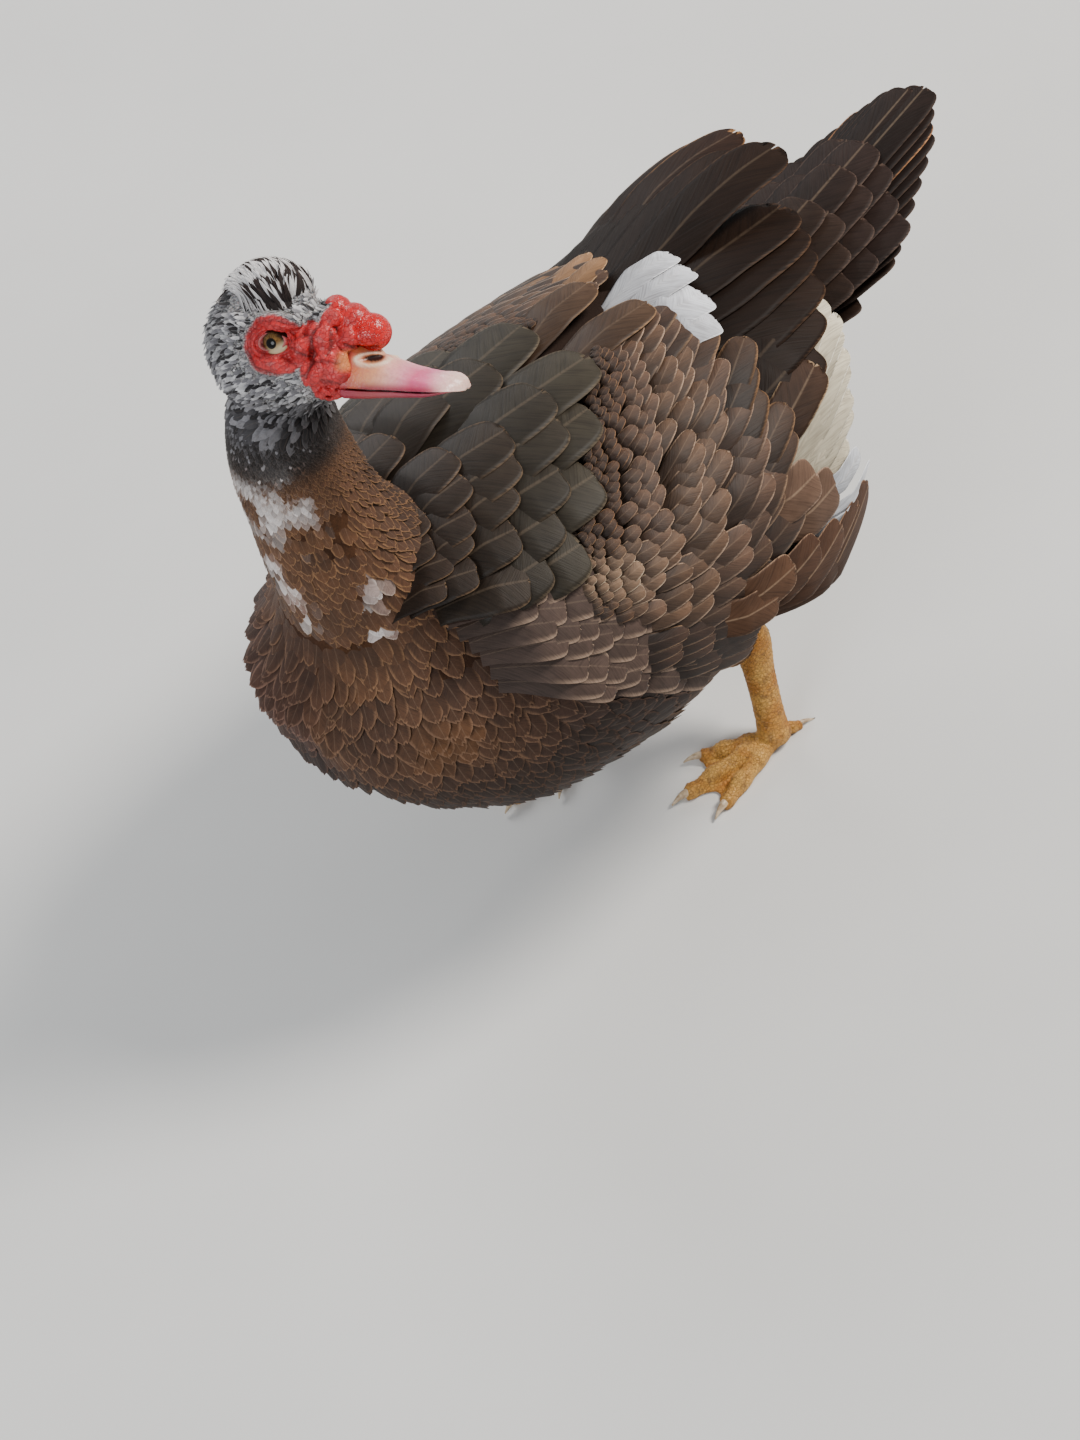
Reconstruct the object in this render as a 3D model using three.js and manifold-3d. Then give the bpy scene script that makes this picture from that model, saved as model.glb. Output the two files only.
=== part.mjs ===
// A muscovy duck at life size, standing with its head turned over its left shoulder.
// Millimetres, +Z up, the bird faces -Y, and its left side is +X. It stands on Z = 0.
import * as THREE from "three";
import { mergeVertices } from "three/addons/utils/BufferGeometryUtils.js";
import Module from "manifold-3d";

const wasm = await Module();
wasm.setup();
const { Manifold, Mesh: SolidMesh } = wasm;

const GAP = 0.4; // clearance between touching pieces
const DEG = Math.PI / 180;

// The torso's stations from breast to rump: y, top z, bottom z, half width.
const TORSO = [
  [-167, 196, 178, 8],
  [-160, 215, 150, 40],
  [-138, 238, 115, 73],
  [-100, 254, 84, 99],
  [-50, 258, 68, 113],
  [0, 256, 63, 116],
  [50, 252, 68, 111],
  [100, 244, 88, 97],
  [145, 234, 120, 76],
  [180, 224, 152, 52],
  [205, 216, 176, 30],
  [214, 205, 188, 8],
];

const RIGHT_SHARE = 0.9; // the right half's width beside the left half's, which fluffs its wing

const vec = (x, y, z) => new THREE.Vector3(x, y, z);
const mix = (a, b, t) => a + (b - a) * t;
const clamp = (x, a, b) => Math.min(b, Math.max(a, x));
const smooth = (t) => t * t * (3 - 2 * t);

// Value at x of a smooth curve through rows of a table, where column 0 is x.
function lookup(table, x, column) {
  const n = table.length;
  const at = clamp(x, table[0][0], table[n - 1][0]);
  let i = 0;
  while (i < n - 2 && at > table[i + 1][0]) i += 1;
  const row = (k) => table[clamp(k, 0, n - 1)];
  const slope = (k) =>
    k <= 0 || k >= n - 1
      ? (row(Math.min(k + 1, n - 1))[column] - row(Math.max(k - 1, 0))[column]) /
        (row(Math.min(k + 1, n - 1))[0] - row(Math.max(k - 1, 0))[0])
      : (row(k + 1)[column] - row(k - 1)[column]) / (row(k + 1)[0] - row(k - 1)[0]);
  const h = row(i + 1)[0] - row(i)[0];
  const t = (at - row(i)[0]) / h;
  const a = row(i)[column];
  const b = row(i + 1)[column];
  return (
    a * (1 + 2 * t) * (1 - t) ** 2 +
    b * t * t * (3 - 2 * t) +
    h * (slope(i) * t * (1 - t) ** 2 - slope(i + 1) * t * t * (1 - t))
  );
}

// A closed surface from rings of points with as many points each, capped at both ends.
function loft(rings) {
  const n = rings[0].length;
  const points = rings.flat();
  const first = points.length;
  const centre = (ring) => ring.reduce((s, p) => s.add(p), vec(0, 0, 0)).divideScalar(n);
  points.push(centre(rings[0]), centre(rings[rings.length - 1]));
  const faces = [];
  for (let i = 0; i + 1 < rings.length; i += 1) {
    for (let j = 0; j < n; j += 1) {
      const a = i * n + j;
      const b = i * n + ((j + 1) % n);
      faces.push(a, b, b + n, a, b + n, a + n);
    }
  }
  const last = (rings.length - 1) * n;
  for (let j = 0; j < n; j += 1) {
    faces.push(first, (j + 1) % n, j);
    faces.push(first + 1, last + j, last + ((j + 1) % n));
  }
  return surface(points, faces);
}

function surface(points, faces) {
  const position = new Float32Array(points.flatMap((p) => [p.x, p.y, p.z]));
  const g = new THREE.BufferGeometry();
  g.setAttribute("position", new THREE.BufferAttribute(position, 3));
  g.setIndex(faces);
  return g;
}

// A three.js geometry as a solid, with its shared vertices merged and its faces turned outwards.
function solid(geometry) {
  const g = geometry.clone();
  for (const name of ["normal", "uv"]) g.deleteAttribute(name);
  const merged = mergeVertices(g, 1e-4);
  const p = merged.attributes.position.array;
  const source = merged.index.array;
  const faces = [];
  for (let i = 0; i < source.length; i += 3) {
    const [a, b, c] = source.slice(i, i + 3);
    if (a !== b && b !== c && c !== a) faces.push(a, b, c);
  }
  let volume = 0;
  for (let i = 0; i < faces.length; i += 3) {
    const [a, b, c] = [0, 1, 2].map((k) => vec(...p.slice(faces[i + k] * 3, faces[i + k] * 3 + 3)));
    volume += a.dot(b.cross(c));
  }
  if (volume < 0) {
    for (let i = 0; i < faces.length; i += 3) [faces[i + 1], faces[i + 2]] = [faces[i + 2], faces[i + 1]];
  }
  const triVerts = new Uint32Array(faces);
  return new Manifold(new SolidMesh({ numProp: 3, vertProperties: p, triVerts }));
}

// Adds a node. Details smaller than the finest are left out of its surface, and so are loose pieces.
function mesh(name, made, colour, roughness = 0.8, finest = 0.15) {
  const bodies = made.simplify(finest).decompose();
  const best = bodies.reduce((a, b) => (b.volume() > a.volume() ? b : a));
  const m = best.getMesh();
  const g = new THREE.BufferGeometry();
  const position = new Float32Array(m.numVert * 3);
  for (let i = 0; i < m.numVert; i += 1) {
    position.set(m.vertProperties.subarray(i * m.numProp, i * m.numProp + 3), i * 3);
  }
  g.setAttribute("position", new THREE.BufferAttribute(position, 3));
  g.setIndex(new THREE.BufferAttribute(m.triVerts, 1));
  const material = new THREE.MeshStandardMaterial({ color: colour, roughness, metalness: 0 });
  const node = new THREE.Mesh(g, material);
  node.name = name;
  duck.add(node);
  return made;
}

const duck = new THREE.Group();

// A point of the torso's skin at y, phi degrees from the back's midline towards the left, lifted along its normal.
function torsoPoint(y, phi, lift = 0, table = TORSO) {
  const top = lookup(table, y, 1);
  const bottom = lookup(table, y, 2);
  const half = lookup(table, y, 3);
  const wide = mix(bottom, top, 0.47);
  const s = Math.sin(phi * DEG);
  const c = Math.cos(phi * DEG);
  const rise = (c > 0 ? top - wide : wide - bottom);
  const x = half * Math.sign(s) * Math.abs(s) ** 0.92;
  const z = rise * Math.sign(c) * Math.abs(c) ** 0.92;
  const n = Math.hypot(s / half, c / rise) || 1;
  const across = x + (lift * s) / half / n;
  return vec(across < 0 ? across * RIGHT_SHARE : across, y, wide + z + (lift * c) / rise / n);
}

// Takes a point or direction of the left side to the side asked for.
function toSide(p, side) {
  if (side < 0) p.x *= -RIGHT_SHARE;
  return p;
}

function torsoShape(grow = 0) {
  const rings = [];
  const count = 20;
  const sides = 28;
  const y0 = TORSO[0][0] - grow;
  const y1 = TORSO[TORSO.length - 1][0] + grow;
  for (let i = 0; i <= count; i += 1) {
    const y = mix(y0, y1, 0.5 - 0.5 * Math.cos((Math.PI * i) / count));
    const ring = [];
    for (let j = 0; j < sides; j += 1) {
      const p = torsoPoint(y, (360 * j) / sides, grow);
      p.y = y;
      ring.push(p);
    }
    rings.push(ring);
  }
  return solid(loft(rings));
}

// A tube of round sections along a smooth curve: rows of x, y, z, radius across, radius in the plane of the bend.
function tube(rows, sides = 20, steps = 16, grow = 0) {
  const curve = new THREE.CatmullRomCurve3(rows.map((r) => vec(r[0], r[1], r[2])), false, "centripetal");
  const rings = [];
  for (let i = 0; i <= steps; i += 1) {
    const t = i / steps;
    const p = curve.getPoint(t);
    const d = curve.getTangent(t);
    const side = vec(1, 0, 0).addScaledVector(d, -d.x).normalize();
    const up = side.clone().cross(d).normalize();
    const at = t * (rows.length - 1);
    const k = Math.min(rows.length - 2, Math.floor(at));
    const w = smooth(at - k);
    const a = mix(rows[k][3], rows[k + 1][3], w) + grow;
    const b = mix(rows[k][4], rows[k + 1][4], w) + grow;
    const ring = [];
    for (let j = 0; j < sides; j += 1) {
      const angle = (2 * Math.PI * j) / sides;
      ring.push(
        p.clone().addScaledVector(side, a * Math.cos(angle)).addScaledVector(up, b * Math.sin(angle)),
      );
    }
    rings.push(ring);
  }
  return solid(loft(rings));
}

// The envelope of the folded wings: y, top z, bottom z, half width. The wings' feathers lie on it.
const WING = [
  [-130, 256, 96, 92],
  [-100, 264, 80, 110],
  [-50, 268, 70, 124],
  [0, 268, 66, 128],
  [60, 263, 72, 124],
  [110, 256, 92, 112],
  [160, 248, 120, 94],
  [210, 241, 148, 74],
  [250, 237, 170, 56],
  [290, 235, 188, 40],
  [330, 233, 204, 26],
];
const onWing = (y, phi, lift) => torsoPoint(y, phi, lift, WING);

// The right wing's long feathers stand higher over the rump than the left wing's, and further out.
const RAISE = { left: 0, right: 22 };
const RAISED_FROM = 110;
const RAISED_BY = 220;
function raised(side, y, phi) {
  const share = clamp((y - RAISED_FROM) / (RAISED_BY - RAISED_FROM), 0, 1);
  const lift = (side < 0 ? RAISE.right : RAISE.left) * smooth(share);
  return vec(0.5 * lift * smooth(clamp(phi / 40, 0, 1)), 0, 0.8 * lift);
}

// The neck's stations: x, y, z, half width, half depth.
const NECK = [
  [4, -76, 200, 78, 64],
  [5, -98, 238, 60, 52],
  [5, -111, 276, 42, 40],
  [3, -115, 308, 34, 35],
  [1, -114, 340, 31, 33],
  [1, -109, 366, 26, 28],
  [5, -103, 390, 16, 17],
];

// The head's own frame: X towards the bill's tip, Y to its left, Z up, from a point between the eyes.
const HEAD = { at: [8, -99, 398], yaw: 24, pitch: -3, roll: -31 };
// The eyeball's middle in the head's frame, on both sides, and its radius
const EYE_X = 4;
const EYE_SIDE = 14.4;
const EYE_Z = 1.5;
const EYE_R = 6.5;
const BILL_BASE = 36;

// The head's stations: x, top z, bottom z, half width.
const SKULL = [
  [-38, 3, -10, 4],
  [-33, 13, -21, 12],
  [-24, 21, -31, 17.4],
  [-12, 25, -37, 19.4],
  [0, 25, -38, 19.4],
  [12, 21, -34, 18],
  [22, 15, -28, 15.6],
  [30, 8, -24, 13.2],
  [36, 4, -21.5, 11.8],
];
// The upper bill's stations: x, top z, edge z, half width.
const BILL = [
  [BILL_BASE, 3, -17.5, 11.6],
  [46, -1, -17, 12],
  [57, -5, -16, 12.8],
  [69, -8, -15.2, 13.6],
  [79, -9, -14.5, 13.8],
  [86, -9.6, -14.2, 11.4],
  [90, -11, -14.6, 6],
  [91, -12, -14.8, 2.5],
];

// The tail's feathers end on this wedge: half of the fan, from the middle feather outwards.
const TAIL = { y: 196, z: 204, x: -3, rise: 0.17 };
const RECTRICES = 7; // on each side

// A feather's vane: a thin plate of sections along a line of points, each with its outward normal.
// Every section has a left, middle and right point on both faces, and both faces split alike.
function vane(line, width, { roll = 0, thick = 1.5, camber = 0.1, tipShare = 0.28, grow = 0 } = {}) {
  const shares = [0.62, 1, 0.86, tipShare];
  const rings = line.map(({ point, normal }, i) => {
    const before = line[Math.max(0, i - 1)].point;
    const after = line[Math.min(line.length - 1, i + 1)].point;
    const along = after.clone().sub(before).normalize();
    const side = along.clone().cross(normal).normalize();
    const up = side.clone().cross(along).normalize();
    const across = side.multiplyScalar(Math.cos(roll * DEG)).addScaledVector(up, Math.sin(roll * DEG));
    const out = across.clone().cross(along).normalize();
    const half = (width / 2) * shares[i] + grow;
    const t = mix(thick, 0.8, i / (line.length - 1)) / 2 + grow;
    const at = (s, h) =>
      point.clone().addScaledVector(across, s * half).addScaledVector(out, h * t - Math.abs(s) * camber * half);
    return [at(1, 0.7), at(0, 1), at(-1, 0.7), at(-1, -0.7), at(0, -1), at(1, -0.7)];
  });
  return solid(loft(rings));
}

const VANE_STEPS = [0, 0.42, 0.82, 1];

// A vane laid on the wings' envelope from its root at y0, phi0 to its tip at y1, phi1.
function wingVane(side, { y0, phi0, y1, phi1, width, sunk = 5, lift = 3, roll = 8 }) {
  const line = VANE_STEPS.map((u) => {
    const y = mix(y0, y1, u);
    const phi = mix(phi0, phi1, u);
    const height = mix(-sunk, lift, Math.min(1, u * 1.7));
    const point = onWing(y, phi, height);
    const normal = onWing(y, phi, height + 1).sub(point).normalize();
    return { point: toSide(point.add(raised(side, y, phi)), side), normal: toSide(normal, side) };
  });
  return vane(line, width, { roll: side * roll });
}

// A row of vanes between a first and a last one, each a row of y0, phi0, y1, phi1, width.
function tier(side, count, first, last, { bulge = 0, sunk = 5, lift = 3, roll = 8 } = {}) {
  const made = [];
  for (let i = 0; i < count; i += 1) {
    const t = count > 1 ? i / (count - 1) : 0;
    const [y0, phi0, y1, phi1, width] = first.map((a, k) => mix(a, last[k], t));
    const arch = bulge * 4 * t * (1 - t);
    const wobble = 1.5 * Math.sin(i * 2.7);
    const place = { y0: y0 + arch, phi0, y1: y1 + arch + wobble, phi1, width, sunk, lift, roll };
    made.push(wingVane(side, place));
  }
  return made;
}

// The wing's flesh and short feathers: a blade between the torso and the envelope.
const WING_EDGES = [
  // y, upper edge phi, lower edge phi
  [-112, 22, 30],
  [-100, 6, 42],
  [-70, 0, 50],
  [-45, 0, 58],
  [0, 0, 84],
  [30, 0, 98],
  [70, 0, 104],
  [105, 0, 100],
  [120, 8, 88],
];
const BLADE_RISE = 1.5;

function wingBlade(side) {
  const rows = 10;
  const columns = 8;
  const y0 = WING_EDGES[0][0];
  const y1 = WING_EDGES[WING_EDGES.length - 1][0];
  const outer = [];
  const inner = [];
  for (let i = 0; i <= rows; i += 1) {
    const y = mix(y0, y1, i / rows);
    const a = lookup(WING_EDGES, y, 1);
    const b = lookup(WING_EDGES, y, 2);
    for (let j = 0; j <= columns; j += 1) {
      const phi = mix(a, b, j / columns);
      const edge = Math.min(1, 4 * Math.min(i / rows, 1 - i / rows, 0.2 + j / columns, 1 - j / columns));
      const floor = torsoPoint(y, phi, GAP);
      const skin = onWing(y, phi, BLADE_RISE).add(raised(side, y, phi));
      const top = floor.clone().lerp(skin, 0.25 + 0.75 * smooth(edge));
      const under = torsoPoint(y, phi, -4);
      outer.push(toSide(top, side));
      inner.push(toSide(under, side));
    }
  }
  const n = columns + 1;
  const points = [...outer, ...inner];
  const shift = outer.length;
  const faces = [];
  const quad = (a, b, c, d) => faces.push(a, b, c, a, c, d);
  for (let i = 0; i < rows; i += 1) {
    for (let j = 0; j < columns; j += 1) {
      const k = i * n + j;
      quad(k, k + 1, k + 1 + n, k + n);
      quad(shift + k, shift + k + n, shift + k + 1 + n, shift + k + 1);
    }
  }
  for (let i = 0; i < rows; i += 1) {
    const k = i * n;
    quad(k, k + n, shift + k + n, shift + k);
    const e = k + columns;
    quad(e + n, e, shift + e, shift + e + n);
  }
  for (let j = 0; j < columns; j += 1) {
    quad(j + 1, j, shift + j, shift + j + 1);
    const e = rows * n + j;
    quad(e, e + 1, shift + e + 1, shift + e);
  }
  return solid(surface(points, faces));
}

const fuse = (parts) => Manifold.union(parts);

// Blocks that hold everything above or below a level, and everything on one side of the middle.
const BLOCK = 900;
const block = (x, z) => solid(new THREE.BoxGeometry(BLOCK, BLOCK, BLOCK).translate(x, 0, z));
const halfSpace = (z, above) => block(0, z + (above ? BLOCK / 2 : -BLOCK / 2));
const sideOf = (side) => block(side * (BLOCK / 2 + GAP / 2), 0);

function wing(side) {
  const parts = [wingBlade(side)];
  // Primaries, low on the flank and held away from the body, the outermost the longest.
  parts.push(...tier(side, 4, [44, 80, 108, 87, 24], [18, 94, 146, 104, 20], { sunk: 6, lift: 12, roll: 10 }));
  // The pale patch between the secondaries and the primaries.
  parts.push(...tier(side, 3, [78, 56, 182, 50, 27], [64, 86, 142, 84, 25], { bulge: 6, sunk: 6, lift: 3, roll: 8 }));
  // Dark secondaries and tertials, straight back over the rump.
  const longest = side < 0 ? 236 : 220;
  parts.push(...tier(side, 6, [66, 7, longest, 8, 36], [64, 58, 108, 60, 30], { bulge: 9, sunk: 7, lift: 3, roll: 9 }));
  // White-tipped inner coverts beside the back's midline.
  parts.push(...tier(side, 2, [78, 6, 140, 6, 20], [78, 18, 128, 18, 22], { sunk: 5, lift: 6, roll: 7 }));
  // Greater coverts, fanned from the wrist.
  parts.push(...tier(side, 6, [60, 10, 110, 18, 29], [-22, 70, 16, 87, 22], { bulge: 20, sunk: 4, lift: 7, roll: 9 }));
  // Median coverts over them.
  parts.push(...tier(side, 4, [32, 12, 84, 20, 27], [-34, 62, 0, 76, 22], { bulge: 16, sunk: 4, lift: 9, roll: 9 }));
  // Broad scapulars over the shoulder.
  parts.push(...tier(side, 3, [-42, 6, 50, 9, 42], [-84, 38, -38, 45, 34], { bulge: 4, sunk: 3, lift: 10, roll: 6 }));
  parts.push(...tier(side, 2, [-76, 8, -8, 10, 36], [-100, 28, -64, 34, 30], { sunk: 3, lift: 11, roll: 6 }));
  return fuse(parts).intersect(sideOf(side));
}

// The head's frame as a matrix.
function headFrame() {
  const [yaw, pitch, roll] = [HEAD.yaw, HEAD.pitch, HEAD.roll].map((a) => a * DEG);
  const forward = vec(Math.cos(pitch) * Math.cos(yaw), Math.cos(pitch) * Math.sin(yaw), Math.sin(pitch));
  const level = vec(-Math.sin(yaw), Math.cos(yaw), 0);
  const above = forward.clone().cross(level);
  const left = level.clone().multiplyScalar(Math.cos(roll)).addScaledVector(above, Math.sin(roll));
  const up = forward.clone().cross(left);
  return new THREE.Matrix4().makeBasis(forward, left, up).setPosition(...HEAD.at);
}
const HEAD_MATRIX = headFrame();
const inHeadFrame = (made) => made.transform(HEAD_MATRIX.elements);

function bulb(x, y, z, rx, ry, rz, detail = 1, grow = 0) {
  const g = new THREE.IcosahedronGeometry(1, detail);
  g.applyMatrix4(new THREE.Matrix4().makeScale(rx + grow, ry + grow, rz + grow));
  return solid(g.translate(x, y, z));
}

// A point of the skull's skin at x and an angle from the crown towards the left.
function skullPoint(x, angle, lift = 0) {
  const top = lookup(SKULL, x, 1);
  const bottom = lookup(SKULL, x, 2);
  const half = lookup(SKULL, x, 3);
  const middle = mix(bottom, top, 0.52);
  const s = Math.sin(angle * DEG);
  const c = Math.cos(angle * DEG);
  const rise = c > 0 ? top - middle : middle - bottom;
  const n = Math.hypot(s / half, c / rise);
  return vec(x, s * (half + lift / half / n), middle + c * (rise + lift / rise / n));
}

const SKULL_SIDES = 20;

function skullShape(grow = 0) {
  const rings = [];
  const count = 11;
  const x1 = SKULL[SKULL.length - 1][0];
  for (let i = 0; i <= count; i += 1) {
    const x = mix(SKULL[0][0], x1, 0.5 - 0.5 * Math.cos((Math.PI * i) / count));
    const ring = [];
    for (let j = 0; j < SKULL_SIDES; j += 1) {
      const p = skullPoint(x, (360 * j) / SKULL_SIDES);
      const middle = vec(x, 0, -3);
      const out = p.clone().sub(middle);
      p.addScaledVector(out.normalize(), grow);
      p.x = x + (grow * (2 * x - x1 - SKULL[0][0])) / (x1 - SKULL[0][0]);
      ring.push(p);
    }
    rings.push(ring);
  }
  return solid(loft(rings));
}

// The red bulbs of the face: x, distance from the middle, z, then the three radii.
const KNOB = [44, 0, 6.6, 9.5, 9, 8.8];
const MIDDLE_BULBS = [
  [35.5, 0, 12.5, 7.5, 8, 6.5],
  [27, 0, 17, 6, 7, 5],
];
const SIDE_BULBS = [
  [36, 7, 4, 6, 5, 6],
  [27, 9, 12, 6.5, 5, 5],
  [25, 13, 5, 8, 5, 7],
  [31, 11, -9, 8, 5, 8],
  [19, 15.5, -12, 9, 4.5, 6],
  [5, 16, 11, 12.5, 5, 4.2],
  [3, 16.4, -9, 13.5, 5, 5],
  [17, 15.4, 0, 5.5, 4.5, 7],
];

function facialBulbs(grow = 0) {
  const made = [bulb(...KNOB, 1, grow)];
  for (const b of MIDDLE_BULBS) made.push(bulb(...b, 1, grow));
  for (const [x, y, z, ...radii] of SIDE_BULBS) {
    made.push(bulb(x, y, z, ...radii, 1, grow), bulb(x, -y, z, ...radii, 1, grow));
  }
  return fuse(made);
}

// The crest stands on the crown as a mound: its middle in the head's frame, then its radii.
const CREST = [-5, 0, 19, 23, 14, 17];

// A point of the mound, the angles counted from its top: back along the head, and to the left.
function crestPoint(back, left, lift) {
  const [x, y, z, rx, ry, rz] = CREST;
  const direction = vec(-Math.sin(back * DEG), Math.sin(left * DEG), Math.cos(back * DEG) * Math.cos(left * DEG));
  direction.normalize();
  return vec(x + direction.x * (rx + lift), y + direction.y * (ry + lift), z + direction.z * (rz + lift));
}

// Crown feathers over the mound: rows of locks from the forehead to the nape, their ends loose.
function crestLocks() {
  const made = [];
  const rows = 4;
  for (let i = 0; i < rows; i += 1) {
    const across = i % 2 ? 4 : 3;
    const from = mix(-62, 40, i / (rows - 1));
    for (let k = 0; k < across; k += 1) {
      const left = ((k - (across - 1) / 2) * 118) / across;
      const turn = 38 + 4 * Math.sin(3 * i + 5 * k);
      const line = [0, 0.55, 1].map((u) => {
        const point = crestPoint(from + turn * u, left, mix(-1.5, 3.2, u * u));
        return { point, normal: crestPoint(from + turn * u, left, 9).sub(point).normalize() };
      });
      made.push(vane(line, 12, { thick: 1.8, camber: 0.16, tipShare: 0.25 }));
    }
  }
  return made;
}

const eyeball = (side, grow = 0) => bulb(EYE_X, side * EYE_SIDE, EYE_Z, EYE_R, EYE_R, EYE_R, 1, grow * 1.4);

function lids(side) {
  const g = new THREE.TorusGeometry(EYE_R - 0.9, 1.7, 5, 10);
  g.rotateX(Math.PI / 2).scale(1.12, 1, 0.95);
  return solid(g.translate(EYE_X, side * (EYE_SIDE + 3.4), EYE_Z));
}

function headShape() {
  const parts = [skullShape(), facialBulbs(), bulb(...CREST, 2), lids(1), lids(-1), ...crestLocks()];
  const made = fuse(parts);
  return made.subtract(eyeball(1, GAP)).subtract(eyeball(-1, GAP));
}

const BILL_EDGE = 0.8; // depth of the upper bill's rim below its edge line
const MOUTH = 0.5; // the gap between upper and lower bill

function billUpper() {
  const sides = 18;
  const rings = BILL.map(([x, top, edge, half]) => {
    const ring = [];
    for (let j = 0; j < sides; j += 1) {
      const a = (2 * Math.PI * j) / sides;
      const s = Math.sin(a);
      ring.push(vec(x, half * Math.cos(a), s > 0 ? edge + (top - edge) * s : edge + BILL_EDGE * s));
    }
    return ring;
  });
  const nail = bulb(85.5, 0, -11.6, 6.2, 5.8, 3.6);
  const nostrils = [1, -1].map((side) => bulb(47.5, side * 9, -4.4, 4.4, 4, 2));
  return fuse([solid(loft(rings)), nail])
    .subtract(fuse(nostrils))
    .subtract(facialBulbs(1.6 * GAP));
}

function billLower() {
  const sides = 14;
  const rings = BILL.slice(0, 6).map(([x, , edge, half], i) => {
    const depth = mix(5.6, 2.4, i / 5);
    const ceiling = edge - BILL_EDGE - MOUTH;
    const ring = [];
    for (let j = 0; j < sides; j += 1) {
      const a = (2 * Math.PI * j) / sides;
      const s = Math.sin(a);
      ring.push(vec(Math.min(x, 84), half * 0.92 * Math.cos(a), s > 0 ? ceiling - 0.2 + 0.2 * s : ceiling + depth * s));
    }
    return ring;
  });
  return solid(loft(rings)).subtract(facialBulbs(1.6 * GAP));
}

// The tail's stump: y, middle z, half width, half height.
const STUMP = [
  [184, 196, 40, 22],
  [205, 202, 44, 16],
  [228, 207, 40, 10],
  [246, 211, 30, 5],
];

function tailVane(x0, y0, x1, y1, z, width, roll, drop) {
  const line = VANE_STEPS.map((u) => {
    const x = mix(x0, x1, u);
    const y = mix(y0, y1, u);
    const height = TAIL.z + z + TAIL.rise * (y - TAIL.y) - drop * Math.abs(x);
    return { point: vec(TAIL.x + x, y, height), normal: vec(drop * Math.sign(x), -TAIL.rise, 1).normalize() };
  });
  return vane(line, width, { roll, thick: 1.6, tipShare: 0.35 });
}

function tail() {
  const rings = STUMP.map(([y, z, half, rise]) =>
    Array.from({ length: 20 }, (_, j) => {
      const a = (2 * Math.PI * j) / 20;
      return vec(TAIL.x * 0.6 + half * Math.cos(a), y, z + rise * Math.sin(a));
    }),
  );
  const parts = [solid(loft(rings))];
  for (let i = 0; i < RECTRICES; i += 1) {
    const t = i / (RECTRICES - 1);
    const tip = [5 + 37 * t, 341 - 82 * t ** 1.4];
    for (const side of [1, -1]) {
      parts.push(tailVane(side * (3 + 24 * t), 208, side * tip[0], tip[1], 1 - 1.9 * i, 27, side * 5, 0.1));
    }
  }
  for (let i = -3; i <= 3; i += 1) {
    const t = i / 3;
    parts.push(tailVane(24 * t, 200, 34 * t, 284 - 30 * t * t, 5.5 - 1.2 * Math.abs(i), 25, 4 * Math.sign(i), 0.1));
  }
  for (let i = -2; i <= 2; i += 1) {
    const t = i / 2;
    parts.push(tailVane(22 * t, 198, 34 * t, 290 - 36 * t * t, -17 - 1.5 * Math.abs(i), 26, 0, 0.1));
  }
  return fuse(parts);
}

// Each leg: the hip inside the body, the hock, the ankle on the floor, and the way that the foot points.
const LEGS = {
  left: { hip: [46, 20, 118], hock: [63, 77, 62], ankle: [78, 64], heading: -104 },
  right: { hip: [-46, 4, 116], hock: [-44, 34, 64], ankle: [-24, 10], heading: -84 },
};
const ANKLE_TOP = 15;
const TOES = [
  // splay from the heading, length without the claw, half width
  [0, 62, 6],
  [23, 55, 5.6],
  [-24, 44, 5.4],
];
const CLAW = 9;

function legTube([a, b], radii, grow = 0) {
  const rows = radii.map(([t, across, along]) => [
    mix(a[0], b[0], t),
    mix(a[1], b[1], t),
    mix(a[2], b[2], t),
    across,
    along,
  ]);
  return tube(rows, 16, 8, grow);
}

const THIGH_RADII = [
  [0, 30, 34],
  [0.4, 27, 31],
  [0.75, 17, 20],
  [1.04, 11, 12],
];
const SHANK_RADII = [
  [-0.14, 7, 8],
  [0, 9.6, 11],
  [0.35, 8, 9],
  [0.75, 8, 8.6],
  [1, 9, 9.5],
];

const thigh = ({ hip, hock }, grow = 0) => legTube([hip, hock], THIGH_RADII, grow);
const shank = ({ hock, ankle }) => legTube([hock, [...ankle, 6]], SHANK_RADII);

function toe(length, half) {
  const stations = [
    [-4, 1.05],
    [length * 0.34, 1.05],
    [length * 0.66, 0.95],
    [length * 0.94, 0.8],
    [length, 0.45],
  ];
  const rings = stations.map(([x, share]) =>
    Array.from({ length: 8 }, (_, j) => {
      const a = (2 * Math.PI * (j + 0.5)) / 8;
      const r = half * share;
      return vec(x, r * Math.cos(a), Math.max(0, r * 0.72 + r * Math.sin(a)));
    }),
  );
  return solid(loft(rings));
}

function claw(length, half) {
  const rings = [
    [length - 4, 0.5, 3.6],
    [length + CLAW * 0.5, 0.36, 3.4],
    [length + CLAW, 0.08, 1.4],
  ].map(([x, share, z]) =>
    Array.from({ length: 6 }, (_, j) => {
      const a = (2 * Math.PI * j) / 6;
      return vec(x, half * share * Math.cos(a), z + half * share * Math.sin(a));
    }),
  );
  return solid(loft(rings));
}

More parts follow.
